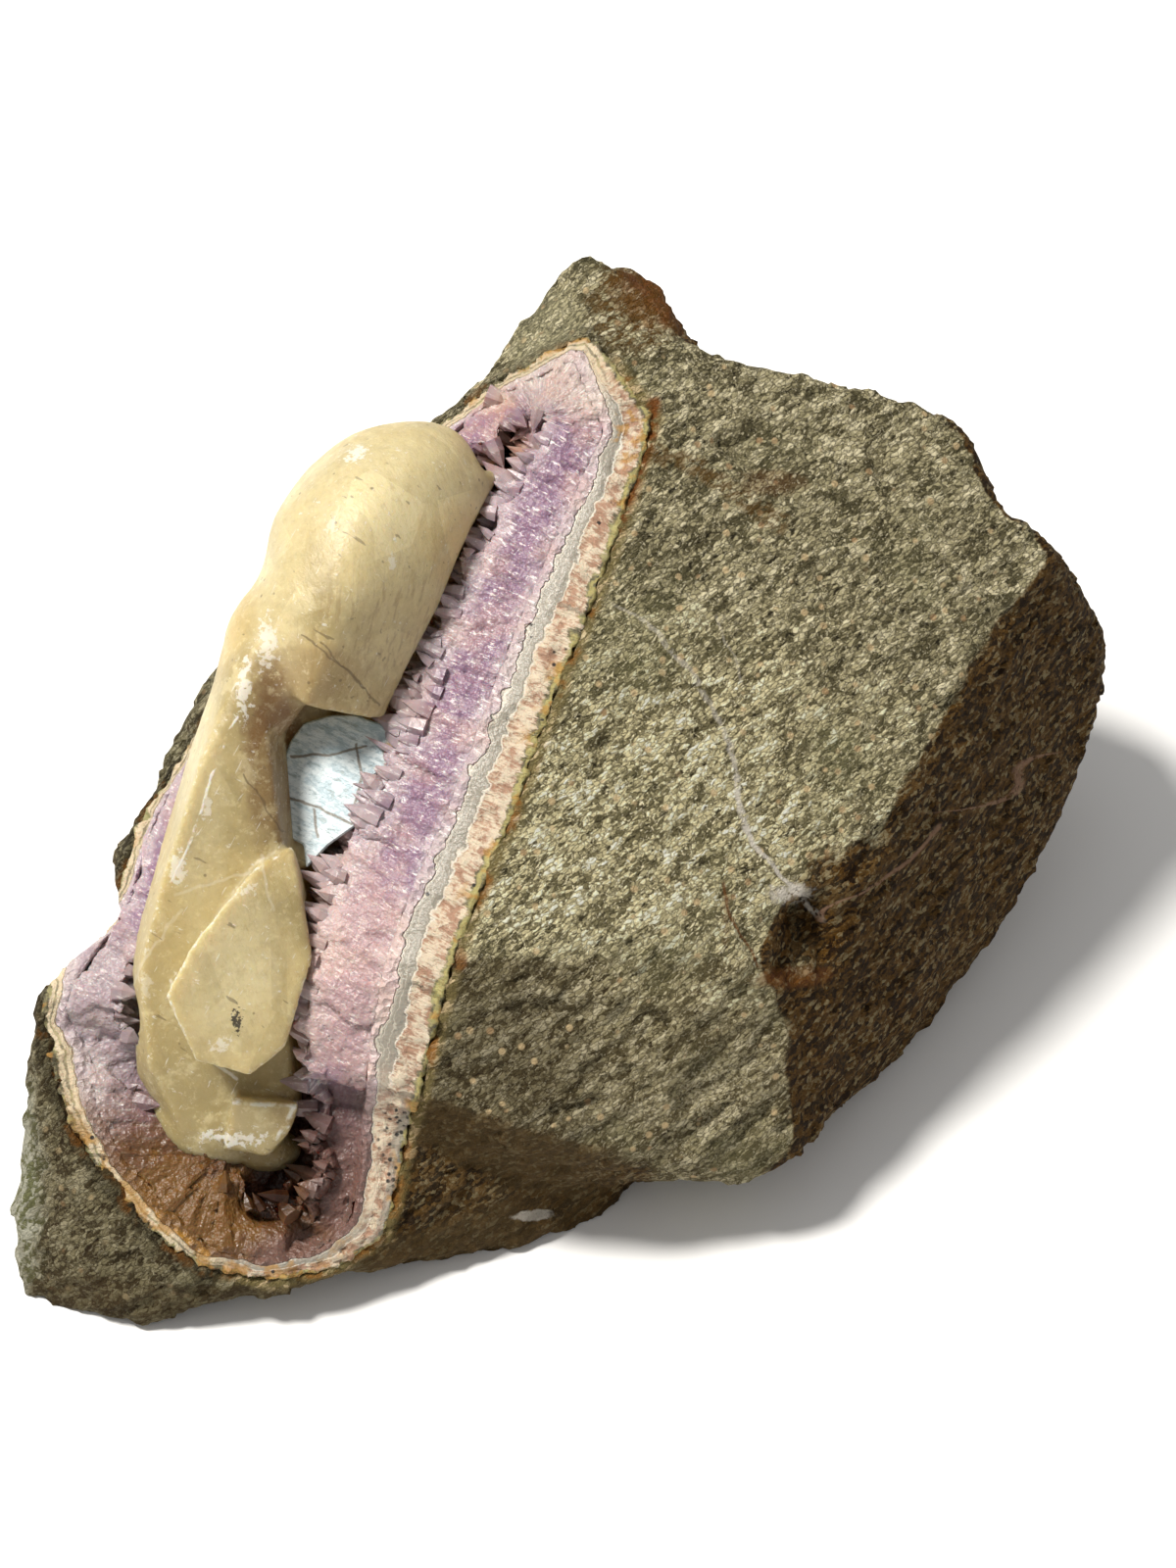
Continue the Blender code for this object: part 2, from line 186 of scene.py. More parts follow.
class Finish:
    """One material: a Principled surface and the nodes that drive it."""

    def __init__(self, name, **constants):
        self.material = bpy.data.materials.new(name)
        self.material.use_nodes = True
        self.tree = self.material.node_tree
        self.surface = self.tree.nodes["Principled BSDF"]
        self.colour = None
        for socket, value in constants.items():
            title = socket.replace("_", " ").title().replace("Ior", "IOR")
            self.surface.inputs[title].default_value = value
        where = self.tree.nodes.new("ShaderNodeTexCoord").outputs["Object"]
        self.place = self.node(
            "ShaderNodeMapping", {"vector_type": "TEXTURE"},
            {"Vector": where, "Location": FACE_MIDDLE, "Rotation": (FACE_TILT, 0, 0), "Scale": (MM, MM, MM)},
        )
        self.across, self.up = self.split(self.place, "X"), self.split(self.place, "Y")

    def node(self, kind, settings=None, sockets=None, output=0):
        """Adds a node and gives one of its outputs as a Wire."""
        made = self.tree.nodes.new(kind)
        for setting, value in (settings or {}).items():
            if setting == "curve":
                self.set_curve(made.mapping, value)
            else:
                setattr(made, setting, value)
        for socket, value in (sockets or {}).items():
            self.feed(made.inputs[socket], value)
        return Wire(self, made.outputs[output])

    def feed(self, socket, value):
        """Links a Wire or socket to a socket, or sets a plain value on it."""
        if isinstance(value, Wire):
            value = value.socket
        if isinstance(value, bpy.types.NodeSocket):
            self.tree.links.new(value, socket)
        elif hasattr(value, "__len__") and len(value) == 3 and socket.type == "RGBA":
            socket.default_value = (*value, 1)
        else:
            socket.default_value = value

    def set_curve(self, mapping, points):
        curve = mapping.curves[0]
        while len(curve.points) < len(points):
            curve.points.new(0.5, 0.5)
        for point, (x, y) in zip(curve.points, points):
            point.location = (x, y)
        mapping.update()

    def maths(self, operation, *values, **settings):
        """A Math node on any number of values."""
        return self.node("ShaderNodeMath", {"operation": operation, **settings}, dict(enumerate(values)))

    def vector(self, operation, first, second, output=0):
        return self.node("ShaderNodeVectorMath", {"operation": operation}, {0: first, 1: second}, output)

    def rise(self, value, low, high):
        """0 where the value is under low, 1 where it is over high, and smooth between."""
        sockets = {"Value": value, "From Min": low, "From Max": high}
        return self.node("ShaderNodeMapRange", {"interpolation_type": "SMOOTHSTEP"}, sockets)

    def mix(self, first, second, factor):
        """A colour that goes from the first to the second as the factor rises."""
        return self.node("ShaderNodeMix", {"data_type": "RGBA"}, {0: factor, 6: first, 7: second}, 2)

    def noise(self, size, detail=2.0, roughness=0.5, place=None, output=0):
        """Cloudy noise from 0 to 1 whose blobs are about size millimetres."""
        sockets = {"Vector": place or self.place, "Scale": 1 / size, "Detail": detail, "Roughness": roughness}
        return self.node("ShaderNodeTexNoise", {}, sockets, output)

    def cells(self, size, output="Distance", feature="F1", place=None):
        """Voronoi cells about size millimetres across."""
        sockets = {"Vector": place or self.place, "Scale": 1 / size}
        return self.node("ShaderNodeTexVoronoi", {"feature": feature}, sockets, output)

    def cell_values(self, size, axis, place=None):
        """One random number from 0 to 1 for each of the cells."""
        return self.split(self.cells(size, "Color", place=place), axis)

    def stretched(self, degrees, scale):
        """The place turned and squeezed, for streaky patterns."""
        turned = self.node(
            "ShaderNodeMapping", {"vector_type": "POINT"},
            {"Vector": self.place, "Rotation": [math.radians(value) for value in degrees]},
        )
        return self.vector("MULTIPLY", turned, scale)

    def split(self, vector, axis):
        return self.node("ShaderNodeSeparateXYZ", {}, {0: vector}, axis)

    def pair(self, first, second):
        return self.node("ShaderNodeCombineXYZ", {}, {0: first, 1: second})

    def right_of_rim(self):
        """0 on the left of the hollow's rim and 1 on its right."""
        side = self.across - self.up * RIM_SLOPE + RIM_OFFSET
        return self.rise(side, 4, 12)

    def attribute(self, name):
        return self.node("ShaderNodeAttribute", {"attribute_name": name}, {}, "Fac")

    def patch(self, centre, radii, ragged=0.35, edge=0.5, grain=3.0):
        """1 inside a soft ragged blob given on the broken face, 0 outside."""
        offset = self.vector("SUBTRACT", self.place, centre)
        reach = self.vector("LENGTH", self.vector("DIVIDE", offset, radii), (0, 0, 0), "Value")
        reach = reach + (self.noise(grain, 3.0, 0.65) - 0.5) * (2 * ragged)
        return self.rise(1.5 - reach, 0.5 - edge / 2, 0.5 + edge / 2)

    def vein(self, course, width, wander):
        """1 on a thin line that climbs the face through the (across, up) points of its course."""
        ups = [up for across, up in course]
        acrosses = [across for across, up in course]
        low, high = min(ups), max(ups)
        left, right = min(acrosses) - 1, max(acrosses) + 1
        wide, tall = right - left, high - low
        points = sorted(((up - low) / tall, (across - left) / wide) for across, up in course)
        height = (self.up - low) / tall
        middle = self.node("ShaderNodeFloatCurve", {"curve": points}, {"Value": height})
        wobble = (self.noise(4.0, 3.0, 0.7) - 0.5) * wander
        off = self.maths("ABSOLUTE", self.across - left - middle * wide + wobble)
        line = self.rise(off, width, width * 0.3)
        ends = self.rise(height, -0.02, 0.04) * self.rise(height, 1.02, 0.96)
        return line * ends

    def stroke(self, course, width, wander=0.5):
        """1 on a thin line through (across, up) points, in any direction on the face."""
        shaken = self.vector("MULTIPLY", self.noise(2.5, 2.0, 0.5, output="Color"), (wander, wander, 0))
        flat = self.vector("ADD", self.vector("MULTIPLY", self.place, (1, 1, 0)), shaken)
        nearest = None
        for start, end in zip(course, course[1:]):
            run = Vector((*end, 0)) - Vector((*start, 0))
            offset = self.vector("SUBTRACT", flat, (*start, 0))
            along = self.vector("DOT_PRODUCT", offset, run, "Value")
            share = self.maths("MULTIPLY", along, 1 / run.length_squared, use_clamp=True)
            foot = self.vector("MULTIPLY", self.pair(share, share), run)
            gap = self.vector("DISTANCE", offset, foot, "Value")
            nearest = gap if nearest is None else self.maths("MINIMUM", nearest, gap)
        return self.rise(nearest, width, width * 0.3)

    def bump(self, height, distance, strength):
        """The normal of a surface that is raised by height times a distance in millimetres."""
        sockets = {"Height": height, "Distance": distance * MM, "Strength": strength}
        return self.node("ShaderNodeBump", {}, sockets)

    def absorb(self, colour, density):
        """Makes light that passes through take on this colour."""
        inside = self.node("ShaderNodeVolumeAbsorption", {}, {"Color": colour, "Density": density})
        self.tree.links.new(inside.socket, self.tree.nodes["Material Output"].inputs["Volume"])

    def coat(self, colour, factor):
        """Lays a colour over what the finish has so far, where the factor is near 1."""
        self.colour = self.mix(self.colour, colour, factor)

    def drive(self, **sockets):
        """Feeds the finish's colour and the values given to the sockets of the surface."""
        for socket, value in {"base_color": self.colour, **sockets}.items():
            self.feed(self.surface.inputs[socket.replace("_", " ").title()], value)


plaster = Finish("floor_paint", roughness=0.9)
plaster.colour = plaster.mix(FLOOR_COLOUR, FLOOR_SHADE, plaster.noise(60.0, 3.0))
plaster.drive()
floor.data.materials.append(plaster.material)
print("floor painted")

# %% [markdown]
# The four solids of the CAD model are coarse and their facets are plain. Each visible piece starts
# as a copy of its solid. The copy is joined up, cut into small even squares by a voxel Remesh, and
# rounded a little with a Smooth modifier, which wears the facets' edges. After that the vertices can be
# pushed in and out along their normals to carve grain, chips and steps.

# %% Copying a solid and cutting it into small squares


def applied(obj, kind, **settings):
    """Runs one modifier on an object and keeps the result."""
    modifier = obj.modifiers.new(kind, kind)
    for setting, value in settings.items():
        setattr(modifier, setting, value)
    graph = bpy.context.evaluated_depsgraph_get()
    result = bpy.data.meshes.new_from_object(obj.evaluated_get(graph))
    obj.modifiers.clear()
    obj.data = result


def vertex_array(obj, what="co"):
    """All vertices' places (or normals) as rows of an array."""
    return np.array([getattr(vert, what)[:] for vert in obj.data.vertices])


def keep_attribute(obj, name, values):
    """Stores one number for each vertex, for the material to read."""
    layer = obj.data.attributes.new(name, "FLOAT", "POINT")
    layer.data.foreach_set("value", np.asarray(values, np.float32))


def fine_copy(node, name, square, rounding, swell=0.0, softer=None, added=None):
    """A copy of a CAD node, cut into squares of that many millimetres and rounded.

    swell pushes the copy out first, so that it closes the narrow gap to its neighbours. added(bm) puts
    closed bodies into the copy, and softer(place) gives a vertex more rounding where it is near 1.
    How far rounding moved a vertex inwards is kept as "edge": it is high on the sharp edges.
    """
    bm = bmesh.new()
    bm.from_mesh(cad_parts[node].data)
    bmesh.ops.remove_doubles(bm, verts=bm.verts, dist=1e-6)
    if added:
        added(bm)
    obj = linked(name, mesh_of(bm, name))
    applied(obj, "DISPLACE", strength=swell * MM, mid_level=0.0)
    applied(obj, "REMESH", mode="VOXEL", voxel_size=square * MM)
    if softer:
        group = obj.vertex_groups.new(name="soft")
        for vert in obj.data.vertices:
            group.add([vert.index], softer(face_place(vert.co)), "REPLACE")
        applied(obj, "SMOOTH", factor=0.5, iterations=SOFT_ROUNDING, vertex_group="soft")
    before = vertex_array(obj)
    applied(obj, "SMOOTH", factor=0.5, iterations=rounding)
    inward = ((before - vertex_array(obj)) * vertex_array(obj, "normal")).sum(axis=1) / MM
    keep_attribute(obj, "edge", inward)
    return obj


def vertex_places(obj):
    """All vertices of an object in millimetres on the broken face, and their normals there."""
    places = [face_place(vert.co) for vert in obj.data.vertices]
    normals = [WORLD_TURN @ vert.normal for vert in obj.data.vertices]
    return places, normals


def carve(obj, heights):
    """Moves every vertex out along its normal by its height in millimetres, but not into the floor."""
    moved = vertex_array(obj) + vertex_array(obj, "normal") * (np.array(heights)[:, None] * MM)
    moved[:, 2] = np.maximum(moved[:, 2], 0)
    print(obj.name, "carved from", round(min(heights), 2), "to", round(max(heights), 2), "mm")
    obj.data.vertices.foreach_set("co", moved.astype(np.float32).ravel())
    obj.data.update()


def surface_tree(node):
    """A search tree of a CAD node's surface, to measure distances to it."""
    bm = bmesh.new()
    bm.from_mesh(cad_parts[node].data)
    tree = BVHTree.FromBMesh(bm)
    bm.free()
    return tree


def distances(obj, tree):
    """Millimetres from each vertex of an object to the surface in a search tree."""
    return np.array([tree.find_nearest(vert.co)[3] / MM for vert in obj.data.vertices])


def dress(obj, finish, node, smooth=True):
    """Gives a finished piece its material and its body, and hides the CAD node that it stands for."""
    obj.data.materials.clear()
    obj.data.materials.append(finish.material)
    if smooth:
        obj.data.shade_smooth()
    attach(obj, "root")
    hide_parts(node)
    triangles = sum(len(face.vertices) - 2 for face in obj.data.polygons)
    print(obj.name, "has", triangles, "triangles")


def ridged(place, size):
    """Sharp crests about size millimetres apart, from -1 to 1."""
    return 1 - abs(noise.noise(place / size)) * 2


def between(value, low, high):
    """0 under low, 1 over high, and a straight climb between."""
    return min(max((value - low) / (high - low), 0.0), 1.0)


def hill(place, middle, radii):
    """A round hill on the face: 1 at its middle and falling off smoothly over its radii."""
    return math.exp(-(((place.x - middle[0]) / radii[0]) ** 2 + ((place.y - middle[1]) / radii[1]) ** 2))


def add_ball(bm, *stance):
    """Puts a closed ball, squashed and turned by stand(), into a bmesh."""
    bmesh.ops.create_icosphere(bm, subdivisions=3, radius=MM, matrix=stand(*stance))


def facet_tilt(place, size, steepness):
    """The height of a surface that is broken into flat facets, each tilted its own way."""
    nearest, seeds = noise.voronoi(place / size)
    seed = seeds[0]
    tilt = noise.cell_vector(seed * 7.3) - Vector((0.5, 0.5, 0.5))
    lift = noise.cell(seed * 5.1) - 0.5
    return ((place / size - seed).dot(tilt) * 2 * steepness + lift * 0.4) * size


SOFT_ROUNDING = 300
trees = {node: surface_tree(node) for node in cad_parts}
print("search trees for", len(trees), "solids")

# %% [markdown]
# The basalt breaks with a rough, grainy surface. On the bright face the break has left low ridges
# that all run the same way, from lower left to upper right, like strokes of a brush. The carving adds
# unevenness of several sizes: broad swells, those strokes, flat chips, hackly bumps of a few
# millimetres and the grain itself, and the single ridges and creases that the photograph shows. Layered
# noise could also be left to the material's bump, but then the outline would stay smooth, so the part
# down to a millimetre is real shape.

# %% The basalt's shape
BASALT_SQUARE = 1.05
STROKE_TURN = Matrix.Rotation(math.radians(-38), 3, "Z")
STROKE_SQUEEZE = Vector((0.28, 1.0, 0.6))
MARKS = (
    ((20.5, 52.5), (23.5, 50.5), 1.3, -2.4), ((11.4, 51.8), (23.6, 45.6), 1.8, 0.9),
    ((23.6, 45.6), (30.5, 41), 1.6, 1.0), ((35, 33.3), (38, 25), 1.0, -1.2), ((3, 6.5), (0.9, 1.4), 0.8, -1.8),
    ((17, 17), (-1, 4), 3.0, -0.9), ((40, 22), (20, 6), 3.0, 0.7), ((8, 44), (30, 30), 2.5, -0.7),
    ((-5, -48.9), (2, -47.4), 0.7, -1.2), ((32, -20), (36.5, -26), 2.2, -2.6),
    ((20.3, -14.4), (25.6, -27.5), 0.7, -1.3), ((48, 42), (56, 30), 2.5, 0.8), ((-12, -30), (18, -33), 1.6, 0.7),
    ((44, 52), (47, 44), 1.0, -1.0), ((10, -14), (14, -6), 0.9, -0.8),
)


def marks_at(places):
    """Height from the ridges and creases that are listed, for each place."""
    flat = np.array([place[:2] for place in places])
    total = np.zeros(len(flat))
    for start, end, width, height in MARKS:
        run = np.subtract(end, start)
        share = np.clip((flat - start) @ run / (run @ run), 0, 1)
        off = np.linalg.norm(flat - start - share[:, None] * run, axis=1) / width
        total += height * np.exp(-off * off)
    return total


def basalt_relief(place, normal):
    """Height of the broken stone: swells, strokes, chips, hackle and grain."""
    stroke = (STROKE_TURN @ place) * STROKE_SQUEEZE
    stroke.x += noise.noise(place / 9) * 2
    open_face = between(normal.z, 0.4, 0.9)
    swell = noise.noise(place / 16) * 0.6
    strokes = (ridged(stroke, 3.4) - 0.6) * 0.3 * open_face
    chips = facet_tilt(stroke * 1.4, 3.0, 0.2) * 0.35
    hackle = (ridged(place, 5.5) - 0.6) * (0.25 + 0.25 * (1 - open_face))
    grain = noise.noise(place / 1.2) * 0.2
    return 0.2 + swell + strokes + chips + hackle + grain


basalt = fine_copy("basalt_matrix", "basalt", BASALT_SQUARE, 2, swell=0.3)
places, normals = vertex_places(basalt)
relief = [basalt_relief(place, normal) for place, normal in zip(places, normals)]
upright = np.array([between(normal.z, 0.5, 0.8) for normal in normals])
facing = vertex_array(basalt, "normal")
keep_attribute(basalt, "sideways", facing[:, 0])
keep_attribute(basalt, "upward", facing[:, 2])
keep_attribute(basalt, "outward", [normal.z for normal in normals])
keep_attribute(basalt, "rim", distances(basalt, trees["chalcedony_rind"]))
carve(basalt, relief + marks_at(places) * upright)

# %% [markdown]
# Basalt is a felt of tiny crystals: dark grains, pale laths of feldspar about a millimetre
# long and a few cream or rusty specks. Small and large cells and two noises, all streaked along the
# strokes, are added up to one number, and that number picks the grain's colour. On top come things that
# only a broken stone shows: a white vein and its branches, rust where water seeped in, and a weathered
# brown on the sides that broke earlier. Each is a coat that a soft mask on the broken face lets through.
# That brown is also painted shade: it is laid on the sides that face away from the lamp, on faces that
# turn downwards, under the overhang and in a recess, and the stone below the broken face's lower edge is
# darkened as painted shade. The colour is also made lighter in the middle of the broken face.

# %% The basalt's finish
ROCK_BLACK = (0.022, 0.018, 0.009)
ROCK_DARK = (0.125, 0.108, 0.055)
ROCK_MID = (0.46, 0.405, 0.235)
ROCK_PALE = (0.90, 0.81, 0.55)
CREAM = (0.80, 0.60, 0.33)
RUST = (0.24, 0.075, 0.014)
# The next colour is the brown of weathered sides. It is also laid as painted shade on sides away from the lamp,
# under overhangs and below the broken face's lower edge.
BROWN_SKIN_AND_SHADE = (0.145, 0.068, 0.010)
BROWN_DARK = (0.022, 0.009, 0.002)
GREEN_SKIN = (0.27, 0.29, 0.13)
PALE_SKIN = (0.78, 0.78, 0.64)
CRUMB_GREEN = (0.28, 0.22, 0.085)
SEEP_RUST = (0.40, 0.15, 0.02)
VEIN_WHITE = (0.80, 0.74, 0.64)
VEIN_PINK = (0.42, 0.25, 0.16)
WHITE_VEIN = (
    (3, 27.5), (9, 24), (13.5, 19), (15.5, 17), (17.5, 13.5), (19.5, 10.3), (21.7, 3.8), (23, -4),
    (24.3, -8.1), (27.7, -12.4), (31, -15.6), (35, -20.4),
)
SIDE_VEIN = ((19.5, 25.5), (20.5, 22), (22.3, 18.5), (23, 15))
RIM_RUST = ((11, 59), (9.6, 52), (7.6, 46), (4.8, 39.5))
RIDGE_RUST = ((11.4, 51.8), (17, 50), (23.6, 45.6), (30.5, 41))
RUST_CRACK = ((20.3, -14.4), (20.9, -19), (23.7, -24), (25.6, -27.5))
PINK_VEIN = ((35, -20.8), (38.5, -21), (43, -15.6), (49, -11.5), (54, -6))
PINK_BRANCH = ((50, -4.5), (66, -2), (69, 3.5), (75, 5.1))
RUST_PATCHES = (
    ((31, -29, 12), (6.5, 1.6, 12), 0.4), ((67, 5, -30), (2.5, 3.5, 12), 0.5),
    ((-19, -26, 16), (1.2, 2.0, 8), 0.7), ((36, 31, -4), (1.0, 5, 5), 0.35),
    ((12, 76, -14), (9, 6, 16), 0.6), ((20.5, -20, 8), (1.0, 6, 10), 0.35), ((28, 46, 0), (5, 2, 8), 0.25),
)

stone = Finish("basalt_stone", roughness=0.85, specular_ior_level=0.12)
felt = stone.noise(0.7, 5.0, 0.75)
shaken = stone.vector("MULTIPLY", stone.noise(1.0, 3.0, 0.6, output="Color"), (0.8, 0.8, 0.8))
streaked = stone.vector("ADD", stone.stretched((0, 0, -38), (0.42, 1, 0.7)), shaken)
chip = stone.cell_values(0.55, "X", streaked)
flake = stone.cell_values(1.5, "Y", streaked)
gap = stone.rise(stone.cells(0.55, "Distance", "DISTANCE_TO_EDGE", streaked), 0.13, 0.02)
brush = stone.noise(3.2, 4.0, 0.65, streaked)
matted = chip * 0.3 + felt * 0.45 + flake * 0.25 + (brush - 0.5) * 0.45
stone.colour = stone.mix(ROCK_DARK, ROCK_MID, stone.rise(matted, 0.36, 0.56))
stone.coat(ROCK_PALE, stone.rise(matted, 0.58, 0.72) * 0.8)
for degrees, low, high in (((0, 0, -50), 0.62, 0.68), ((60, 0, 60), 0.64, 0.7)):
    needles = stone.rise(stone.noise(0.45, 1.0, 0.5, stone.stretched(degrees, (0.3, 1, 1))), low, high)
    stone.coat(ROCK_PALE, needles * 0.55)
pits = stone.rise(stone.noise(0.8, 3.0, 0.65, streaked), 0.4, 0.32)
stone.coat(ROCK_BLACK, stone.maths("MAXIMUM", pits * 0.95, gap * 0.6))
broad = stone.noise(22.0, 3.0, 0.6)
# The colour is scaled up, most in the middle of the broken face, so that it is lighter there.
lighter_middle = stone.patch((6, -4, 2), (40, 27, 40), 0.35, 1.0, 9.0)
across, height = stone.across, stone.up
# Painted shade: below the broken face's lower edge the stone is darkened by up to nearly half, most on the left,
# and browned a little.
below_edge = stone.rise(height + (brush - 0.5) * 3, -25.2, -26.6)
shade = below_edge * stone.rise(across, 12, -10) * (stone.rise(across, -36, -28) * 0.7 + 0.3)
stone.colour = stone.vector("MULTIPLY", stone.colour, (1.1 + lighter_middle * 0.6) * (1 - shade * 0.46))
stone.colour = stone.vector("MINIMUM", stone.colour, (0.95, 0.95, 0.88))
stone.coat(BROWN_SKIN_AND_SHADE, below_edge * 0.15)
stone.coat(stone.mix(ROCK_DARK, GREEN_SKIN, felt), stone.rise(broad, 0.5, 0.75) * 0.3)
speck_kind = stone.cell_values(2.4, "X")
specks = stone.rise(stone.cells(2.4), 0.29, 0.17) * stone.rise(speck_kind, 0.62, 0.68)
stone.coat(stone.mix(CREAM, RUST, stone.rise(speck_kind, 0.88, 0.95) * 0.5), specks * 0.75)
sideways = stone.attribute("sideways")
upward = stone.attribute("upward")
grainy = chip * 0.35 + felt * 0.65
brown = stone.mix(BROWN_DARK, BROWN_SKIN_AND_SHADE, stone.rise(grainy, 0.36, 0.58))
brown = stone.mix(brown, ROCK_MID, stone.rise(grainy, 0.58, 0.68) * 0.5)
# Painted shade, partly weathered brown: the sides that face right, away from the lamp, get the dark brown.
side_skin_and_shade = stone.rise(sideways + (brush - 0.5) * 0.3, 0.36, 0.48)
stone.coat(brown, side_skin_and_shade * 0.95)
# Painted shade, partly weathered brown: the low face under the overhang of the lower edge is browned too.
under = stone.rise(height + across * 0.3 + (broad - 0.5) * 3, -53, -56) * stone.rise(across, 12, 8)
under = under * stone.rise(across, -36, -32)
stone.coat(brown, under * 0.8)
# Painted shade, partly weathered brown: faces that turn downwards, on the left, are darker brown.
front = stone.rise(upward + (broad - 0.5) * 0.3, 0.44, 0.22) * stone.rise(across, 12, -4)
stone.coat(stone.mix(BROWN_SKIN_AND_SHADE, ROCK_DARK, felt), front * 0.6)
far_left = stone.rise(across, -40, -55)
stone.coat(stone.mix(BROWN_DARK, ROCK_DARK, stone.rise(matted, 0.4, 0.6)), far_left * 0.5)
# Painted shade: a recess at the lower end of the white vein is darkened with the weathered brown.
for centre, radii in (((36.5, -17, -5), (5.5, 8, 40)), ((33, -22.5, -5), (5.5, 5, 40))):
    stone.coat(brown, stone.patch(centre, radii, 0.4, 0.4) * 0.9)
rim = stone.attribute("rim") + (felt - 0.5) * 2.5
right_side = stone.right_of_rim()
crumbs = stone.mix(CRUMB_GREEN, CREAM, stone.rise(matted, 0.52, 0.64))
stone.coat(crumbs, stone.rise(rim, 2.6, 1.2) * right_side * 0.75)
seeping = stone.rise(rim, 2.0, 0.6) * stone.rise(stone.noise(6.0, 3.0, 0.6), 0.5, 0.6)
stone.coat(SEEP_RUST, seeping * 0.75)
stone.coat(ROCK_BLACK, stone.rise(rim, 2.8, 1.4) * (1 - right_side) * 0.45)
seen = stone.rise(stone.attribute("outward"), -0.1, 0.1)
rusty = stone.rise(stone.noise(1.6, 3.0, 0.65), 0.38, 0.55) * seen
stone.coat(RUST, stone.stroke(RIM_RUST, 1.7, 1.6) * rusty * 0.9)
stone.coat(BROWN_SKIN_AND_SHADE, stone.stroke(RIDGE_RUST, 2.2, 2.5) * rusty * 0.65)
for centre, radii, strength in RUST_PATCHES:
    stone.coat(RUST, stone.patch(centre, radii, 0.6, 0.7, 2.0) * seen * strength)
pale_skin = stone.mix(GREEN_SKIN, PALE_SKIN, stone.rise(matted, 0.38, 0.55))
stone.coat(pale_skin, stone.patch((-88, -60, 0), (5, 16, 20), 0.6, 1.0) * 0.6)
# The knob at the top: paler on its left side and browner on its right, on its darker grains. This is partly its
# own tone and partly painted light and painted shade.
stone.coat(stone.mix(GREEN_SKIN, ROCK_PALE, felt), stone.patch((-7, 70, 0), (6, 8, 30)) * 0.3)
stone.coat(BROWN_SKIN_AND_SHADE, stone.patch((7, 74, -6), (7, 8, 30)) * stone.rise(matted, 0.6, 0.4) * 0.7)
broken = stone.rise(stone.noise(1.3, 3.0, 0.7), 0.34, 0.48) * seen
white = stone.vein(WHITE_VEIN, 0.75, 2.2) + stone.patch((30, -16.5, 10), (3.6, 1.6, 8), 0.7, 0.6, 1.4)
white = (white + stone.vein(SIDE_VEIN, 0.3, 1.2) * 0.6) * broken
white = white * stone.rise(sideways, 0.75, 0.45) * (0.45 + stone.rise(height, 12, -6) * 0.5)
stone.coat(VEIN_WHITE, white)
pinkish = stone.vein(PINK_VEIN, 0.7, 1.8) + stone.vein(PINK_BRANCH, 1.4, 2.4)
stone.coat(VEIN_PINK, pinkish * broken * 0.8)
stone.coat(RUST, stone.vein(RUST_CRACK, 0.35, 1.6) * seen * 0.6)
stone.coat(VEIN_WHITE, stone.patch((-8.5, -66.5, -6), (3.4, 0.9, 8), 0.6, 0.4, 1.6) * 0.75)
fuzzy = stone.patch((20, -46, 4), (7, 6, 12), 0.6, 0.9, 2.0) * stone.rise(felt, 0.5, 0.62)
stone.coat(ROCK_PALE, fuzzy * 0.6)
worn = stone.rise(stone.attribute("edge") + (felt - 0.5) * 0.2, 0.12, 0.35)
stone.coat(ROCK_PALE, worn * 0.35 * stone.rise(side_skin_and_shade, 0.9, 0.3))
relief = chip * 0.25 + flake * 0.35 + brush * 0.9 + felt * 0.6 - gap * 0.15 - pits * 0.3
stone.drive(roughness=0.7 + felt * 0.3 - white * 0.2, normal=stone.bump(relief, 2.4, 1.0))
dress(basalt, stone, "basalt_matrix")

# %% [markdown]
# The rind lines the cavity in layers: against the basalt a thin dark and rusty selvage, then a
# pink and white layer of fibres that stand across the band, and against the amethyst grey chalcedony
# with fine white lines. Two numbers are stored on the mesh for it. One is the layer: how far a point is
# from the basalt compared with the amethyst. The other is the course: how far along the band it is. Noise
# that is stretched along the first and fine along the second makes fibres that stand across the band.

# %% The rind's shape
RIND_SQUARE = 0.68
HOLLOW_MIDDLE = ((-8, 56), (-20, 35), (-34, 0), (-45, -20), (-54, -40), (-55, -56))
RIND_SINK = 0.45


def hollow_spots(flat):
    """For points on the face: the nearest spots on the hollow's middle line, and how far down it they are."""
    line = np.array(HOLLOW_MIDDLE, float)
    best = np.full(len(flat), np.inf)
    spots = np.zeros_like(flat)
    downs = np.zeros(len(flat))
    passed = 0.0
    for start, end in zip(line, line[1:]):
        run = end - start
        share = np.clip((flat - start) @ run / (run @ run), 0, 1)
        spot = start + share[:, None] * run
        gap = np.linalg.norm(flat - spot, axis=1)
        closer = gap < best
        best[closer] = gap[closer]
        spots[closer] = spot[closer]
        downs[closer] = passed + share[closer] * np.linalg.norm(run)
        passed += np.linalg.norm(run)
    return spots, downs


def course_along(places):
    """Millimetres along the band for each place: down the middle line, and round its two ends."""
    flat = np.array([place[:2] for place in places])
    spots, downs = hollow_spots(flat)
    offset = flat - spots
    return downs + np.arctan2(offset[:, 1], offset[:, 0]) * 14


def layer_share(obj, outer, inner):
    """How far across a layer each vertex lies: 0 against the outer neighbour, 1 against the inner one."""
    away, near = distances(obj, trees[outer]), distances(obj, trees[inner])
    return away / (away + near)


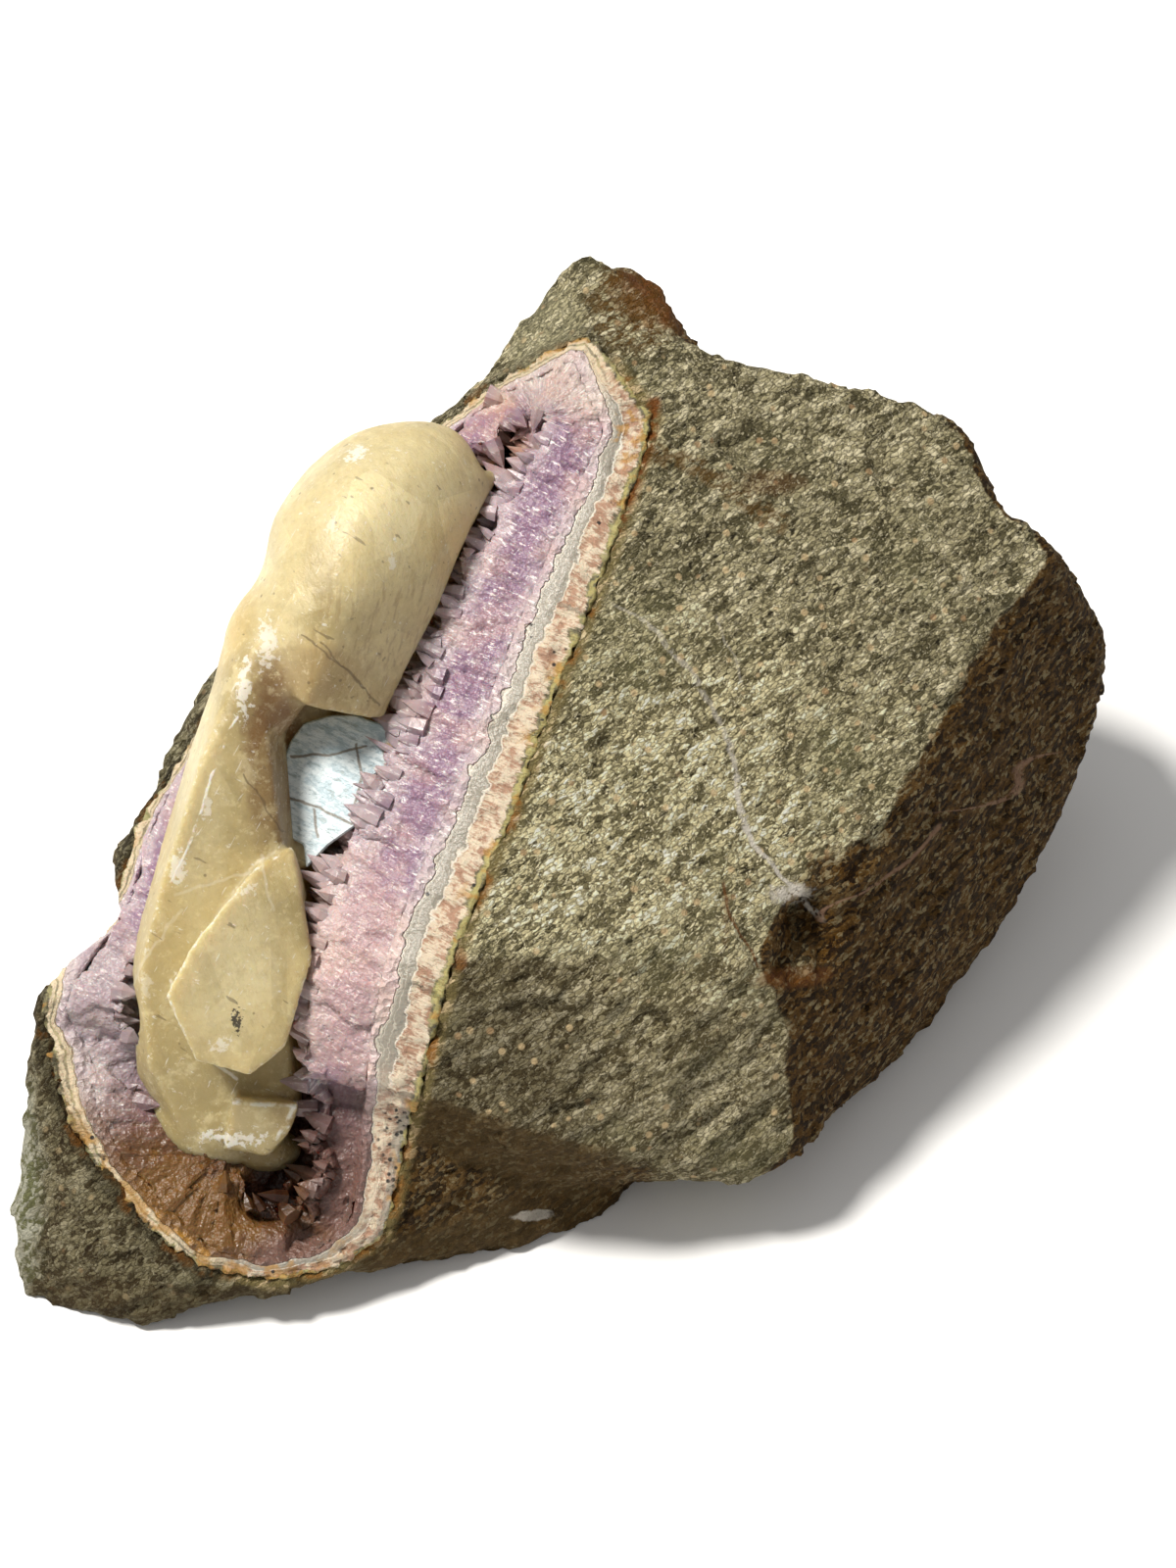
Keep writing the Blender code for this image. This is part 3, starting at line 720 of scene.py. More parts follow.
def rind_relief(place, normal, layer, course):
    """Fibres that stand across the band, sunk a little between the two seams."""
    rough = min(max((0.6 - layer) / 0.06, 0.12), 1)
    fibre = noise.noise(Vector((course / 1.1, layer * 3.5, 0)))
    sunk = RIND_SINK * between(min(layer, 1 - layer), 0.04, 0.16) * between(normal.z, 0.3, 0.7)
    tuft = facet_tilt(Vector((course, layer * 5, place.z)), 1.8, 0.3) * 0.5
    return noise.noise(place / 6) * 0.25 - sunk + (fibre * 0.5 + tuft) * rough


rind = fine_copy("chalcedony_rind", "rind", RIND_SQUARE, 1, swell=0.8)
places, normals = vertex_places(rind)
layers = layer_share(rind, "basalt_matrix", "amethyst_crust")
courses = course_along(places)
keep_attribute(rind, "layer", layers)
keep_attribute(rind, "course", courses)
carve(rind, [rind_relief(*values) for values in zip(places, normals, layers, courses)])

# %% The rind's finish
SELVAGE_DARK = (0.10, 0.085, 0.045)
SELVAGE_GREEN = (0.30, 0.27, 0.12)
FIBRE_PINK = (0.37, 0.215, 0.14)
FIBRE_WHITE = (0.62, 0.52, 0.385)
FIBRE_BROWN = (0.20, 0.14, 0.08)
CHALCEDONY_GREY = (0.27, 0.245, 0.20)
CHALCEDONY_WHITE = (0.66, 0.60, 0.50)
CREAM_LINE = (0.62, 0.51, 0.35)
OCHRE = (0.40, 0.20, 0.03)
EDGE_YELLOW = (0.42, 0.36, 0.13)
SOOT = (0.02, 0.016, 0.012)
LILAC = (0.44, 0.345, 0.375)
DEEP_PURPLE = (0.24, 0.14, 0.215)
MILKY = (0.50, 0.42, 0.405)
GLINT_WHITE = (0.84, 0.78, 0.76)
ROSE = (0.52, 0.34, 0.28)
PINK_MILK = (0.66, 0.46, 0.38)
GREY_LILAC = (0.47, 0.41, 0.385)
LOW_BROWN_AND_SHADE = (0.115, 0.048, 0.008)
RUSSET = (0.21, 0.10, 0.012)
CREAM_MILK = (0.58, 0.50, 0.37)
SHADE_MAUVE = (0.17, 0.095, 0.085)
TAN_ROSE = (0.46, 0.26, 0.18)
HOLE_SHADE_BROWN = (0.03, 0.008, 0.002)
# Soft patches on the quartz: centre, radii, raggedness, edge, colour and strength. Most are its own stains and
# tones. The dark brown in the two holes is painted shade, the mauve below the step and on the lobe at the foot of
# the hollow is painted shade, and the brown low down is partly stain and partly painted shade below the step.
STAINS_AND_SHADE = (
    ((-35, -27, 0), (9, 17, 60), 0.6, 0.9, PINK_MILK, 0.4),
    ((-72, -36, 0), (8, 14, 60), 0.3, 0.9, GREY_LILAC, 0.5),
    ((-60, -67, 0), (40, 19, 60), 0.3, 0.7, LOW_BROWN_AND_SHADE, 0.95),
    ((-62, -65, 0), (13, 8, 60), 1.2, 0.5, RUSSET, 0.45),
    ((-36.5, -57, 0), (6.5, 13, 60), 0.2, 0.6, SHADE_MAUVE, 0.75),
    ((-44, -72, 0), (7, 4, 60), 0.2, 0.6, SHADE_MAUVE, 0.6),
    ((-48, -62.8, -6), (6.5, 5.2, 16), 0.35, 0.5, HOLE_SHADE_BROWN, 1.0),
    ((-4, 61, 0), (10, 5, 60), 0.7, 0.9, CREAM_MILK, 0.35),
    ((-10, 52, -9), (9, 9, 8), 0.3, 0.7, TAN_ROSE, 0.85),
    ((-11, 51, -16), (6, 7, 9), 0.25, 0.7, HOLE_SHADE_BROWN, 0.9),
)
OCHRE_LINE = ((-79, -56), (-72, -61), (-64, -67), (-56, -73), (-50, -76))


def quartz_colour(finish, root, course):
    """Quartz that is milky at its root and purple further in, streaked across the band and flecked with painted
    white glints; stained low down, with painted shade below the step, on the lobe and in the holes.
    """
    column = finish.pair(course, root * 0.28)
    streak = finish.noise(0.8, 4.0, 0.65, column)
    cloud = finish.noise(4.0, 3.0, 0.6)
    depth = root + (cloud - 0.5) * 7
    colour = finish.mix(MILKY, LILAC, finish.rise(depth, -0.5, 2.0))
    colour = finish.mix(colour, DEEP_PURPLE, finish.rise(depth, 2.0, 5.0) * finish.rise(depth, 12, 8) * 0.95)
    colour = finish.mix(colour, ROSE, finish.rise(finish.noise(9.0, 2.0), 0.48, 0.64) * 0.35)
    colour = finish.mix(colour, MILKY, finish.rise(streak, 0.5, 0.64) * 0.45)
    # Painted highlights: small white glints streaked across the band.
    colour = finish.mix(colour, GLINT_WHITE, finish.rise(finish.noise(0.6, 4.0, 0.7, column), 0.57, 0.62) * 0.75)
    for centre, radii, ragged, edge, stain, strength in STAINS_AND_SHADE:
        colour = finish.mix(colour, stain, finish.patch(centre, radii, ragged, edge) * strength)
    ochre = finish.vein(OCHRE_LINE, 3.2, 3.0) * finish.rise(finish.noise(2.5, 3.0), 0.36, 0.5)
    return finish.mix(colour, OCHRE, ochre * 0.8)


band = Finish("banded_rind", roughness=0.5, subsurface_weight=0.1, subsurface_scale=0.002)
course = band.attribute("course")
right = band.right_of_rim()
wave = (band.noise(7.0, 2.0) - 0.5) * 0.3 + (band.noise(1.8, 3.0) - 0.5) * 0.24
layer = band.attribute("layer") + wave
across_band = band.pair(course, layer * 3.0)
fibre = band.noise(0.7, 4.0, 0.7, across_band)
tuft = band.noise(2.4, 4.0, 0.65)
pink = band.mix(FIBRE_PINK, FIBRE_WHITE, band.rise(fibre * 0.5 + tuft * 0.5, 0.44, 0.55))
pink = band.mix(pink, FIBRE_BROWN, band.rise(fibre * 0.7 + tuft * 0.3, 0.42, 0.34) * 0.7)
selvage = band.mix(SELVAGE_DARK, SELVAGE_GREEN, band.rise(band.noise(2.0, 3.0, 0.7), 0.42, 0.6))
ragged = layer + (fibre - 0.5) * 0.3
left_layers = band.mix(selvage, CREAM_LINE, band.rise(ragged, 0.14, 0.2))
left_layers = band.mix(left_layers, selvage, band.rise(layer, 0.28, 0.31) * band.rise(layer, 0.4, 0.36) * 0.7)
right_layers = band.mix(selvage, pink, band.rise(ragged, 0.12, 0.18))
band.colour = band.mix(left_layers, right_layers, right)
chalcedony = band.mix(CHALCEDONY_WHITE, CHALCEDONY_GREY, band.rise(layer, 0.54, 0.56))
lines = band.maths("SINE", layer * 85)
fine_lines = band.rise(lines, 0.6, 0.98) * band.rise(layer, 0.6, 0.7)
chalcedony = band.mix(chalcedony, CHALCEDONY_WHITE, fine_lines * 0.4)
chalcedony = band.mix(chalcedony, CHALCEDONY_WHITE, band.rise(layer, 0.77, 0.79) * 0.7)
low_right = band.patch((-29, -56, 0), (8, 15, 20), 0.2, 0.8)
band.coat(chalcedony, band.rise(layer, 0.5, 0.53) * right * (1 - low_right * band.rise(layer, 0.8, 0.76)))
band.coat(CHALCEDONY_GREY, low_right * band.rise(layer, 0.36, 0.3) * band.rise(layer, 0.08, 0.12) * 0.7)
edge_line = band.rise(layer, 0.0, 0.03) * band.rise(layer, 0.12, 0.08)
band.coat(EDGE_YELLOW, edge_line * 0.7 * right)
seep = band.rise(band.noise(5.0, 3.0, 0.6), 0.56, 0.64) * band.rise(layer, 0.4, 0.1)
low_ochre = band.patch((-70, -66, 8), (32, 16, 20)) * band.rise(band.noise(2.6, 3.0), 0.42, 0.55)
high_ochre = band.patch((9, 55, 0), (5, 10, 20)) * band.rise(band.noise(2.0, 3.0), 0.5, 0.6)
for ochre in (seep, low_ochre, high_ochre):
    band.coat(OCHRE, ochre * 0.7)
inner = 0.8 - (1 - right) * 0.24
quartz_root = (layer - inner) * 10
band.coat(quartz_colour(band, quartz_root, course), band.rise(layer - inner, 0.0, 0.025))
speck_kind = band.cell_values(1.7, "X")
dark_specks = band.rise(band.cells(1.7), 0.26, 0.14) * band.rise(speck_kind, 0.9, 0.94)
low_specks = band.rise(band.cells(1.1), 0.4, 0.2) * band.patch((-29, -54, 0), (3, 9, 20), 0.6, 0.5, 1.5)
band.coat(SOOT, band.maths("MAXIMUM", dark_specks, low_specks))
glassy = (band.cells(1.2) * 0.9 + band.noise(0.8, 3.0, 0.65) * 0.5) * band.rise(layer, inner, inner + 0.03)
relief = fibre * band.rise(layer, 0.58, 0.52) + tuft * 0.4 + band.noise(0.5, 3.0) * 0.3 + glassy
band.drive(roughness=0.62 - band.rise(layer, 0.48, 0.54) * 0.3, normal=band.bump(relief, 0.8, 1.0))
dress(rind, band, "chalcedony_rind")

# %% [markdown]
# The amethyst crust is quartz that grew from the wall towards the middle in a palisade of crystals.
# Where the rock broke, the crust shows a sugary broken surface of small glassy facets. To carve facets
# rather than soft bumps, space is divided into cells around scattered points, and inside each cell the
# surface is tilted as one flat plane. The stored distance from the rind gives the colour
# its zones: whitish at the root and purple towards the points.

# %% The amethyst crust's shape
CRUST_SQUARE = 0.6
STAND_UP = 3.0
STEP_DOWN = 2.8
HOLE_DEPTH = 6.0


def below_step(place):
    """1 on the lower right stretch of the crust, which broke off deeper than the rest."""
    line = -43.5 - (place.x + 45) * 0.2 + noise.noise(place / 3) * 0.8
    return between(line - place.y, 0, 0.8) * between(place.x, -46, -44.5)


def crust_relief(place, normal, course, root):
    """Facets that are longer across the band than along it, as broken columns are."""
    column = Vector((course, root * 0.35, place.z * 0.6))
    broken = facet_tilt(column, 2.4, 0.32) * 0.55 + facet_tilt(place, 1.2, 0.3) * 0.3
    top = between(normal.z, 0.3, 0.7)
    hole = HOLE_DEPTH * hill(place, (-48, -62.8), (4.2, 3.4))
    return 0.1 + broken - hole * top - STEP_DOWN * below_step(place) * top * between(root, 0.3, 1.2)


def add_lobe(bm):
    """The rounded end of the crust that hangs over the rind at the foot of the hollow."""
    add_ball(bm, (-44, -71, -3.5), (6.5, 4.2, 5.0))


crust = fine_copy("amethyst_crust", "amethyst_crust_dressed", CRUST_SQUARE, 1, swell=0.3, added=add_lobe)
places, normals = vertex_places(crust)
roots = distances(crust, trees["chalcedony_rind"])
courses = course_along(places)
keep_attribute(crust, "root", roots)
keep_attribute(crust, "course", courses)
carve(crust, [crust_relief(*values) for values in zip(places, normals, courses, roots)])

# %% The amethyst's finish
quartz = Finish(
    "amethyst_quartz", roughness=0.2, ior=1.55, transmission_weight=0.1, subsurface_weight=0.3,
    subsurface_scale=0.002, specular_ior_level=0.35,
)
root = quartz.attribute("root") + 2.0
course = quartz.attribute("course")
column = quartz.pair(course, root * 0.3)
streak = quartz.noise(0.9, 3.0, 0.65, column)
quartz.colour = quartz_colour(quartz, root, course)
relief = quartz.cells(1.0) * 0.6 + quartz.cells(0.5) * 0.3 + streak * 0.6
quartz.drive(roughness=0.2 + quartz.noise(1.2, 3.0) * 0.4, normal=quartz.bump(relief, 0.45, 0.9))
dress(crust, quartz, "amethyst_crust")

# %% [markdown]
# Six-sided quartz points stand on the inner side of the crust. One point is made as a cone with six
# sides whose top face is poked up into a pyramid. It is repeated in two ways. Deep in the hollow each
# seat is a spot on the CAD crust that faces the middle. Along the rim, where the photograph shows a jagged
# edge of teeth, rays go out from the hollow's middle line until they meet the wall, and a larger point
# lies there with its tip towards the middle, in rows one under another.

# %% The quartz points
POINT_SPACING = 2.2
TOOTH_SPACING = 2.7
TOOTH_ROWS = ((-2.1, 0.9), (-4.2, 0.95), (-6.5, 0.9), (-9.5, 0.85))
TOOTH_ROOT = 1.6
TOOTH_BEND = 0.45
END_FANS = ((0, 10, 170), (5, 190, 350))
FACING_MIDDLE = 0.45
FACING_OUT = 0.8
CROWDING = 0.7
PROBE_DEPTH = -8
RAY_LENGTH = 40 * MM
POINT_TINT = (0.75, 0.55, 0.72)


def quartz_point():
    """One point, 1 unit across at the foot and about 1.5 high, as a mesh."""
    bm = bmesh.new()
    bmesh.ops.create_cone(bm, cap_ends=True, segments=6, radius1=0.5, radius2=0.42, depth=0.6)
    top = max(bm.faces, key=lambda face: face.calc_center_median().z)
    bmesh.ops.poke(bm, faces=[top], offset=0.8)
    return mesh_of(bm, "quartz_point")


def chance(place, number):
    """A steady random number from 0 to 1 for a place."""
    return noise.cell(place * (1.7 + number))


def point_seats():
    """Spots on the hollow's wall where points stand: place, direction, width and length in metres."""
    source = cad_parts["amethyst_crust"].data
    source.calc_loop_triangles()
    seats = []
    for triangle in source.loop_triangles:
        corners = [source.vertices[index].co for index in triangle.vertices]
        count = max(1, round(triangle.area / (POINT_SPACING * MM) ** 2 * 1.5))
        for number in range(count):
            dice = corners[0] / MM * 3.7 + Vector((number * 1.3, 0, 0))
            weights = noise.cell_vector(dice) + Vector((0.05,) * 3)
            weights /= sum(weights)
            spot = sum((corner * weight for corner, weight in zip(corners, weights)), Vector())
            place = face_place(spot)
            middle = hollow_spots(np.array([place[:2]]))[0][0]
            inward = Vector((middle[0] - place.x, middle[1] - place.y, 0)).normalized()
            facing = WORLD_TURN @ triangle.normal
            if facing.dot(inward) < FACING_MIDDLE or facing.z > FACING_OUT:
                continue
            if trees["chalcedony_rind"].find_nearest(spot)[3] < STAND_UP * MM:
                continue
            if any((spot - other[0]).length < POINT_SPACING * MM * CROWDING for other in seats):
                continue
            lean = noise.cell_vector(place * 1.9) - Vector((0.5, 0.5, 0.5))
            along = (facing * 0.35 + inward * 0.8 + lean * 0.8 + Vector((0, 0, 0.15))).normalized()
            width = (1.5 + 1.9 * chance(place, 1)) * MM
            length = width * (0.9 + 0.5 * chance(place, 2))
            seats.append((spot, FACE_TURN @ along, width, length))
    return seats


def rim_directions():
    """Spots on the hollow's middle line, each with a direction in the face that leads to the wall."""
    line = [Vector((*point, 0)) for point in HOLLOW_MIDDLE]
    for start, end in zip(line, line[1:]):
        run = end - start
        for number in range(int(run.length / TOOTH_SPACING)):
            spot = start + run.normalized() * (number + 0.5) * TOOTH_SPACING
            yield spot, Vector((run.y, -run.x, 0)).normalized()
            yield spot, Vector((-run.y, run.x, 0)).normalized()
    for index, first, last in END_FANS:
        for degrees in range(first, last, 12):
            angle = math.radians(degrees)
            yield line[index], Vector((math.cos(angle), math.sin(angle), 0))


def tooth_seats():
    """Seats for the large points that lie along the rim with their tips towards the middle."""
    tree = trees["amethyst_crust"]
    seats = []
    for middle, outward in rim_directions():
        level = FACE_TURN @ outward
        deep = tree.ray_cast(on_face(middle.x, middle.y, PROBE_DEPTH), level, RAY_LENGTH)[0]
        if deep is None:
            continue
        above = face_place(deep) + outward * TOOTH_ROOT
        top = tree.ray_cast(on_face(above.x, above.y, 30), FACE_TURN @ Vector((0, 0, -1)), 0.06)[0]
        if top is None:
            continue
        rim = face_place(top).z
        for row, (depth, share) in enumerate(TOOTH_ROWS):
            slide = (row % 2) * 0.5 + chance(middle + outward, row) * 0.4
            start = middle + Vector((outward.y, -outward.x, 0)) * slide * TOOTH_SPACING
            hit = tree.ray_cast(on_face(start.x, start.y, rim + depth), level, RAY_LENGTH)[0]
            if hit is None:
                continue
            place = face_place(hit)
            lean = noise.cell_vector(place * 1.3) - Vector((0.5, 0.5, 0.7))
            along = FACE_TURN @ (-outward + lean * TOOTH_BEND).normalized()
            width = (3.0 + 1.7 * chance(place, 3)) * share * MM
            length = (3.8 + 1.6 * chance(place, 4)) * share * MM
            seats.append((hit + level * TOOTH_ROOT * MM + along * length * 0.4, along, width, length))
    return seats


def grow_points():
    """A joined mesh of points on the hollow side of the crust."""
    template = quartz_point()
    bm = bmesh.new()
    seats = [(spot + along * size[1] * 0.1, along, *size) for spot, along, *size in point_seats()]
    teeth = tooth_seats()
    for spot, along, width, length in seats + teeth:
        aim = along.to_track_quat("Z", "Y").to_matrix().to_4x4()
        spin = Matrix.Rotation(chance(spot / MM, 5) * math.pi, 4, "Z")
        matrix = Matrix.Translation(spot) @ aim @ spin @ Matrix.Diagonal((width, width, length, 1))
        template.transform(matrix)
        bm.from_mesh(template)
        template.transform(matrix.inverted())
    print(len(seats), "points and", len(teeth), "rim teeth grown")
    return linked("amethyst_points", mesh_of(bm, "amethyst_points"))


points = grow_points()
keep_attribute(points, "root", distances(points, trees["chalcedony_rind"]))
keep_attribute(points, "course", course_along(vertex_places(points)[0]))
tip = Finish(
    "amethyst_point_quartz", roughness=0.25, ior=1.55, transmission_weight=0.25, subsurface_weight=0.2,
    subsurface_scale=0.002, specular_ior_level=0.4,
)
tip.colour = quartz_colour(tip, tip.attribute("root") + 1.0, tip.attribute("course"))
tip.absorb(POINT_TINT, 60.0)
tip.drive(roughness=0.2 + tip.noise(2.0, 3.0) * 0.35, normal=tip.bump(tip.noise(0.8, 3.0), 0.25, 0.6))
dress(points, tip, "amethyst_crust", smooth=False)

# %% [markdown]
# The calcite crystals are honey-coloured and let light in: a strong subsurface glow with some clear
# transmission behaves like them. Their faces are flat and satin, etched with fine lines, and
# their edges are slightly rounded and whiter: partly where they were bruised, and partly painted
# highlights, white glints on edges, spots, flecks and hairlines. Their colour also holds painted light and
# shade: paler and brighter where light shines through the upper crystal, and brown under its lower edge.
# The upper crystal is worn much rounder than the others, so it gets more rounding, by a vertex group.
# Four small bodies that the CAD leaves out are put in before the mesh is cut up, and the Remesh melts
# them into the rest: the iron-stained part beside the silvery face, the waist between the two large
# crystals, the foot of the long one, and the bulge under the lowest block.

# %% The calcite's shape
CALCITE_SQUARE = 0.62
SOFT_SWELL = 1.1
SLIMMING = 2.3


def worn_round(place):
    """1 on the upper crystal and on the waist below it, 0 on the sharp ones."""
    upper = between(place.y, 16, 28) * between(place.x, -14, -24)
    return max(upper, hill(place, (-52, 17), (6, 6)))


def calcite_relief(place):
    """Height of the calcite: long low steps, and more bulk or less where the crystal is worn."""
    steps = noise.noise(Vector((place.x / 9, place.y / 22, place.z / 9))) * 0.35
    slimmer = SLIMMING * hill(place, (-51, 33), (5, 7))
    return 0.05 + steps + noise.noise(place / 2.5) * 0.06 + SOFT_SWELL * worn_round(place) - slimmer


def add_calcite_bodies(bm):
    """The iron-stained block, the bulge, the waist and the foot."""
    block = stand((-46, 9, -3), (7.5, 13, 9), -20, 12)
    bmesh.ops.create_cone(
        bm, cap_ends=True, segments=6, radius1=MM, radius2=0.7 * MM, depth=2 * MM, matrix=block,
    )
    add_ball(bm, (-49.5, -56, -1), (5.5, 3.4, 5.5))
    add_ball(bm, (-48.6, 15.5, 9), (6.4, 12, 9), -26, 30)
    add_ball(bm, (-57, -48.5, 1), (10.3, 10.2, 7), 12)


calcite = fine_copy("calcite_crystals", "calcite", CALCITE_SQUARE, 4, softer=worn_round, added=add_calcite_bodies)
places, normals = vertex_places(calcite)
carve(calcite, [calcite_relief(place) for place in places])

# %% The calcite's finish
HONEY = (0.70, 0.57, 0.28)
PALE_HONEY = (0.86, 0.76, 0.46)
PAINTED_GLOW_HONEY = (0.97, 0.86, 0.52)
OLIVE_HONEY = (0.47, 0.375, 0.17)
GOLD_HONEY = (0.80, 0.57, 0.21)
IRON_STAIN_AND_SHADE_BROWN = (0.22, 0.10, 0.02)
BRUISE_AND_GLINT_WHITE = (0.95, 0.93, 0.85)
SCRATCH = (0.14, 0.09, 0.04)
HONEY_DEPTH = (0.85, 0.68, 0.34)
# Soft zones of colour: centre, radii, raggedness, colour and strength. Some are the calcite's own tones, such as
# the olive low down on the long crystal and the iron stain on its right face. Others are painted light and shade:
# the upper crystal's right half, top and left edge are paler, brighter and golden as a painted glow where light
# shines through, the long crystal's left face is paler as painted light, the upper crystal's lower right is a
# little olive as painted shade, and the brown under its lower edge is painted shade under the overhang.
HONEY_ZONES_AND_PAINTED_LIGHT = (
    ((-25, 30, 20), (11, 22, 30), 0.3, PAINTED_GLOW_HONEY, 0.7), ((-30, 44, 20), (15, 9, 30), 0.3, PALE_HONEY, 0.7),
    ((-46, 30, 20), (4, 24, 30), 0.3, PALE_HONEY, 0.5), ((-19, 36, 20), (6, 6, 30), 0.3, GOLD_HONEY, 0.5),
    ((-28, 17, 20), (13, 12, 30), 0.4, OLIVE_HONEY, 0.2), ((-61, -43, 14), (9, 9, 30), 0.4, OLIVE_HONEY, 0.65),
    ((-55, 28, 10), (5, 10, 30), 0.4, GOLD_HONEY, 0.4), ((-42, 16, 16), (8, 4.5, 40), 0.5, IRON_STAIN_AND_SHADE_BROWN, 0.45),
    ((-47, 4, 10), (4.2, 13, 40), 0.4, IRON_STAIN_AND_SHADE_BROWN, 0.9), ((-58, -4, 20), (4, 18, 30), 0.4, PALE_HONEY, 0.5),
    ((-68, -30, 14), (5, 22, 30), 0.4, OLIVE_HONEY, 0.5), ((-52, -26, 26), (9, 14, 9), 0.3, PALE_HONEY, 0.6),
    ((-56, -54, 8), (14, 7, 30), 0.4, OLIVE_HONEY, 0.6), ((-49, -58, -2), (7, 3.5, 12), 0.4, IRON_STAIN_AND_SHADE_BROWN, 0.4),
    ((-44, -50, 4), (5, 5, 10), 0.4, IRON_STAIN_AND_SHADE_BROWN, 0.4),
)
IRON_PLACE = (-47, 4, 10)
# White spots where the crystals were bruised, which are also painted highlights (glints): across, up, width,
# height and strength.
BRUISES_AND_GLINTS = (
    (-34.8, 49.5, 1.5, 1.1, 0.7), (-47.6, 21, 1.2, 3.0, 0.6), (-51, 14, 0.8, 3.4, 0.7),
    (-61, -12.5, 0.9, 2.0, 0.7), (-54, -38.5, 1.0, 0.8, 0.5), (-50, -15.5, 1.0, 0.8, 0.5),
    (-29, 33, 0.5, 0.9, 0.5), (-38, 38, 0.7, 1.4, 0.35), (-56.5, -3.5, 0.6, 1.2, 0.5), (-66, -30, 0.8, 1.6, 0.3),
)
# A white streak low on the long crystal: bruised, and a painted highlight.
LOW_BRUISE_AND_GLINT = (-53, -53.4, 14)
RIDGE_GLINT = ((-50.5, 12.8), (-55.5, 2), (-58.5, -7), (-62.3, -14.9))
CRACKS = (
    ((-38.7, 21.6), (-32.9, 14.9)), ((-41.8, 22.8), (-34.8, 17.4), (-30.7, 12.5)),
    ((-50.3, 2), (-45, -6.5)), ((-41, -14), (-39, -23)),
)
# Painted highlights along the edges of the lower blocks.
GLINT_EDGES = (((-52, -47.3), (-43.4, -47.8), (-47.5, -55)), ((-62, -29), (-58.2, -39.6), (-52.5, -44)))
INNER_PLANES = (
    ((-61, -16), (-55, -14), (-48.6, -11.9)), ((-60, -18), (-66, -26), (-70, -34)), ((-48, -10), (-46, -18)),
)

honey = Finish(
    "honey_calcite", roughness=0.3, ior=1.6, transmission_weight=0.3, subsurface_weight=0.8,
    subsurface_radius=(1.0, 0.8, 0.45), subsurface_scale=0.003, specular_ior_level=0.4,
)
honey.absorb(HONEY_DEPTH, 50.0)
cloud = honey.noise(14.0, 3.0, 0.55)
veil = honey.noise(5.0, 4.0, 0.65)
domain = honey.cell_values(11.0, "X")
honey.colour = honey.mix(OLIVE_HONEY, HONEY, honey.rise(cloud + (domain - 0.5) * 0.2, 0.32, 0.56))
for centre, radii, ragged, zone, strength in HONEY_ZONES_AND_PAINTED_LIGHT:
    edge = 0.7 if centre == IRON_PLACE else 0.9
    honey.coat(zone, honey.patch(centre, radii, ragged, edge) * strength)
honey.coat(PALE_HONEY, honey.rise(veil, 0.52, 0.66) * 0.5)
honey.coat(OLIVE_HONEY, honey.rise(domain, 0.45, 0.55) * 0.3)
mottle = honey.noise(1.3, 5.0, 0.75)
honey.coat(OLIVE_HONEY, honey.rise(mottle, 0.5, 0.66) * 0.3)
honey.coat(PALE_HONEY, honey.rise(mottle, 0.46, 0.36) * 0.4)
hanging = honey.noise(0.9, 3.0, 0.6, honey.stretched((0, 0, 4), (1, 0.09, 1)))
hanging_zone = honey.patch((-28, 20, 20), (14, 14, 30), 0.3, 0.9)
honey.coat(IRON_STAIN_AND_SHADE_BROWN, honey.rise(hanging, 0.52, 0.66) * hanging_zone * 0.3)
for course_line in CRACKS:
    honey.coat(SCRATCH, honey.stroke(course_line, 0.22, 1.4) * 0.6)
for course_line in GLINT_EDGES:
    honey.coat(BRUISE_AND_GLINT_WHITE, honey.stroke(course_line, 0.4, 0.9) * honey.rise(veil, 0.4, 0.52) * 0.7)
for course_line in INNER_PLANES:
    honey.coat(BRUISE_AND_GLINT_WHITE, honey.stroke(course_line, 0.35, 1.4) * 0.22)
scratch = honey.noise(1.2, 2.0, 0.5, honey.stretched((0, 0, 35), (0.12, 1, 1)))
honey.coat(SCRATCH, honey.rise(scratch, 0.7, 0.73) * 0.5)
grit_kind = honey.cell_values(2.6, "Y")
grit = honey.rise(honey.cells(2.6), 0.13, 0.06) * honey.rise(grit_kind, 0.7, 0.75)
honey.coat(SCRATCH, grit * 0.6)
# The white coat: bruised edges, and painted highlights on sharp edges, along the long crystal's ridge, on the
# listed spots, in small flecks and in hairlines.
bruise_and_glint = honey.rise(honey.attribute("edge") + (honey.noise(1.2, 4.0, 0.7) - 0.5) * 0.3, 0.07, 0.15)
bruise_and_glint = honey.maths("MAXIMUM", bruise_and_glint * 0.8, honey.vein(RIDGE_GLINT, 0.32, 1.6) * honey.rise(veil, 0.46, 0.54))
for across, up, wide, tall, strength in BRUISES_AND_GLINTS:
    patch = honey.patch((across, up, 20), (wide, tall, 30), 3.0, 0.5, 1.0)
    bruise_and_glint = honey.maths("MAXIMUM", bruise_and_glint, patch * strength)
bruise_and_glint = honey.maths("MAXIMUM", bruise_and_glint, honey.patch(LOW_BRUISE_AND_GLINT, (4.0, 0.8, 30), 3.0, 0.5, 1.0) * 0.8)
glint_fleck = honey.rise(honey.noise(0.7, 3.0, 0.6, honey.stretched((0, 0, 20), (0.5, 1, 1))), 0.64, 0.68)
glint_fleck = glint_fleck * honey.rise(veil, 0.46, 0.56)
glint_hair = honey.rise(honey.noise(0.6, 2.0, 0.6, honey.stretched((0, 0, -62), (0.12, 1, 1))), 0.68, 0.71)
bruise_and_glint = honey.maths("MAXIMUM", bruise_and_glint, honey.maths("MAXIMUM", glint_fleck * 0.6, glint_hair * 0.5))
honey.coat(BRUISE_AND_GLINT_WHITE, bruise_and_glint)
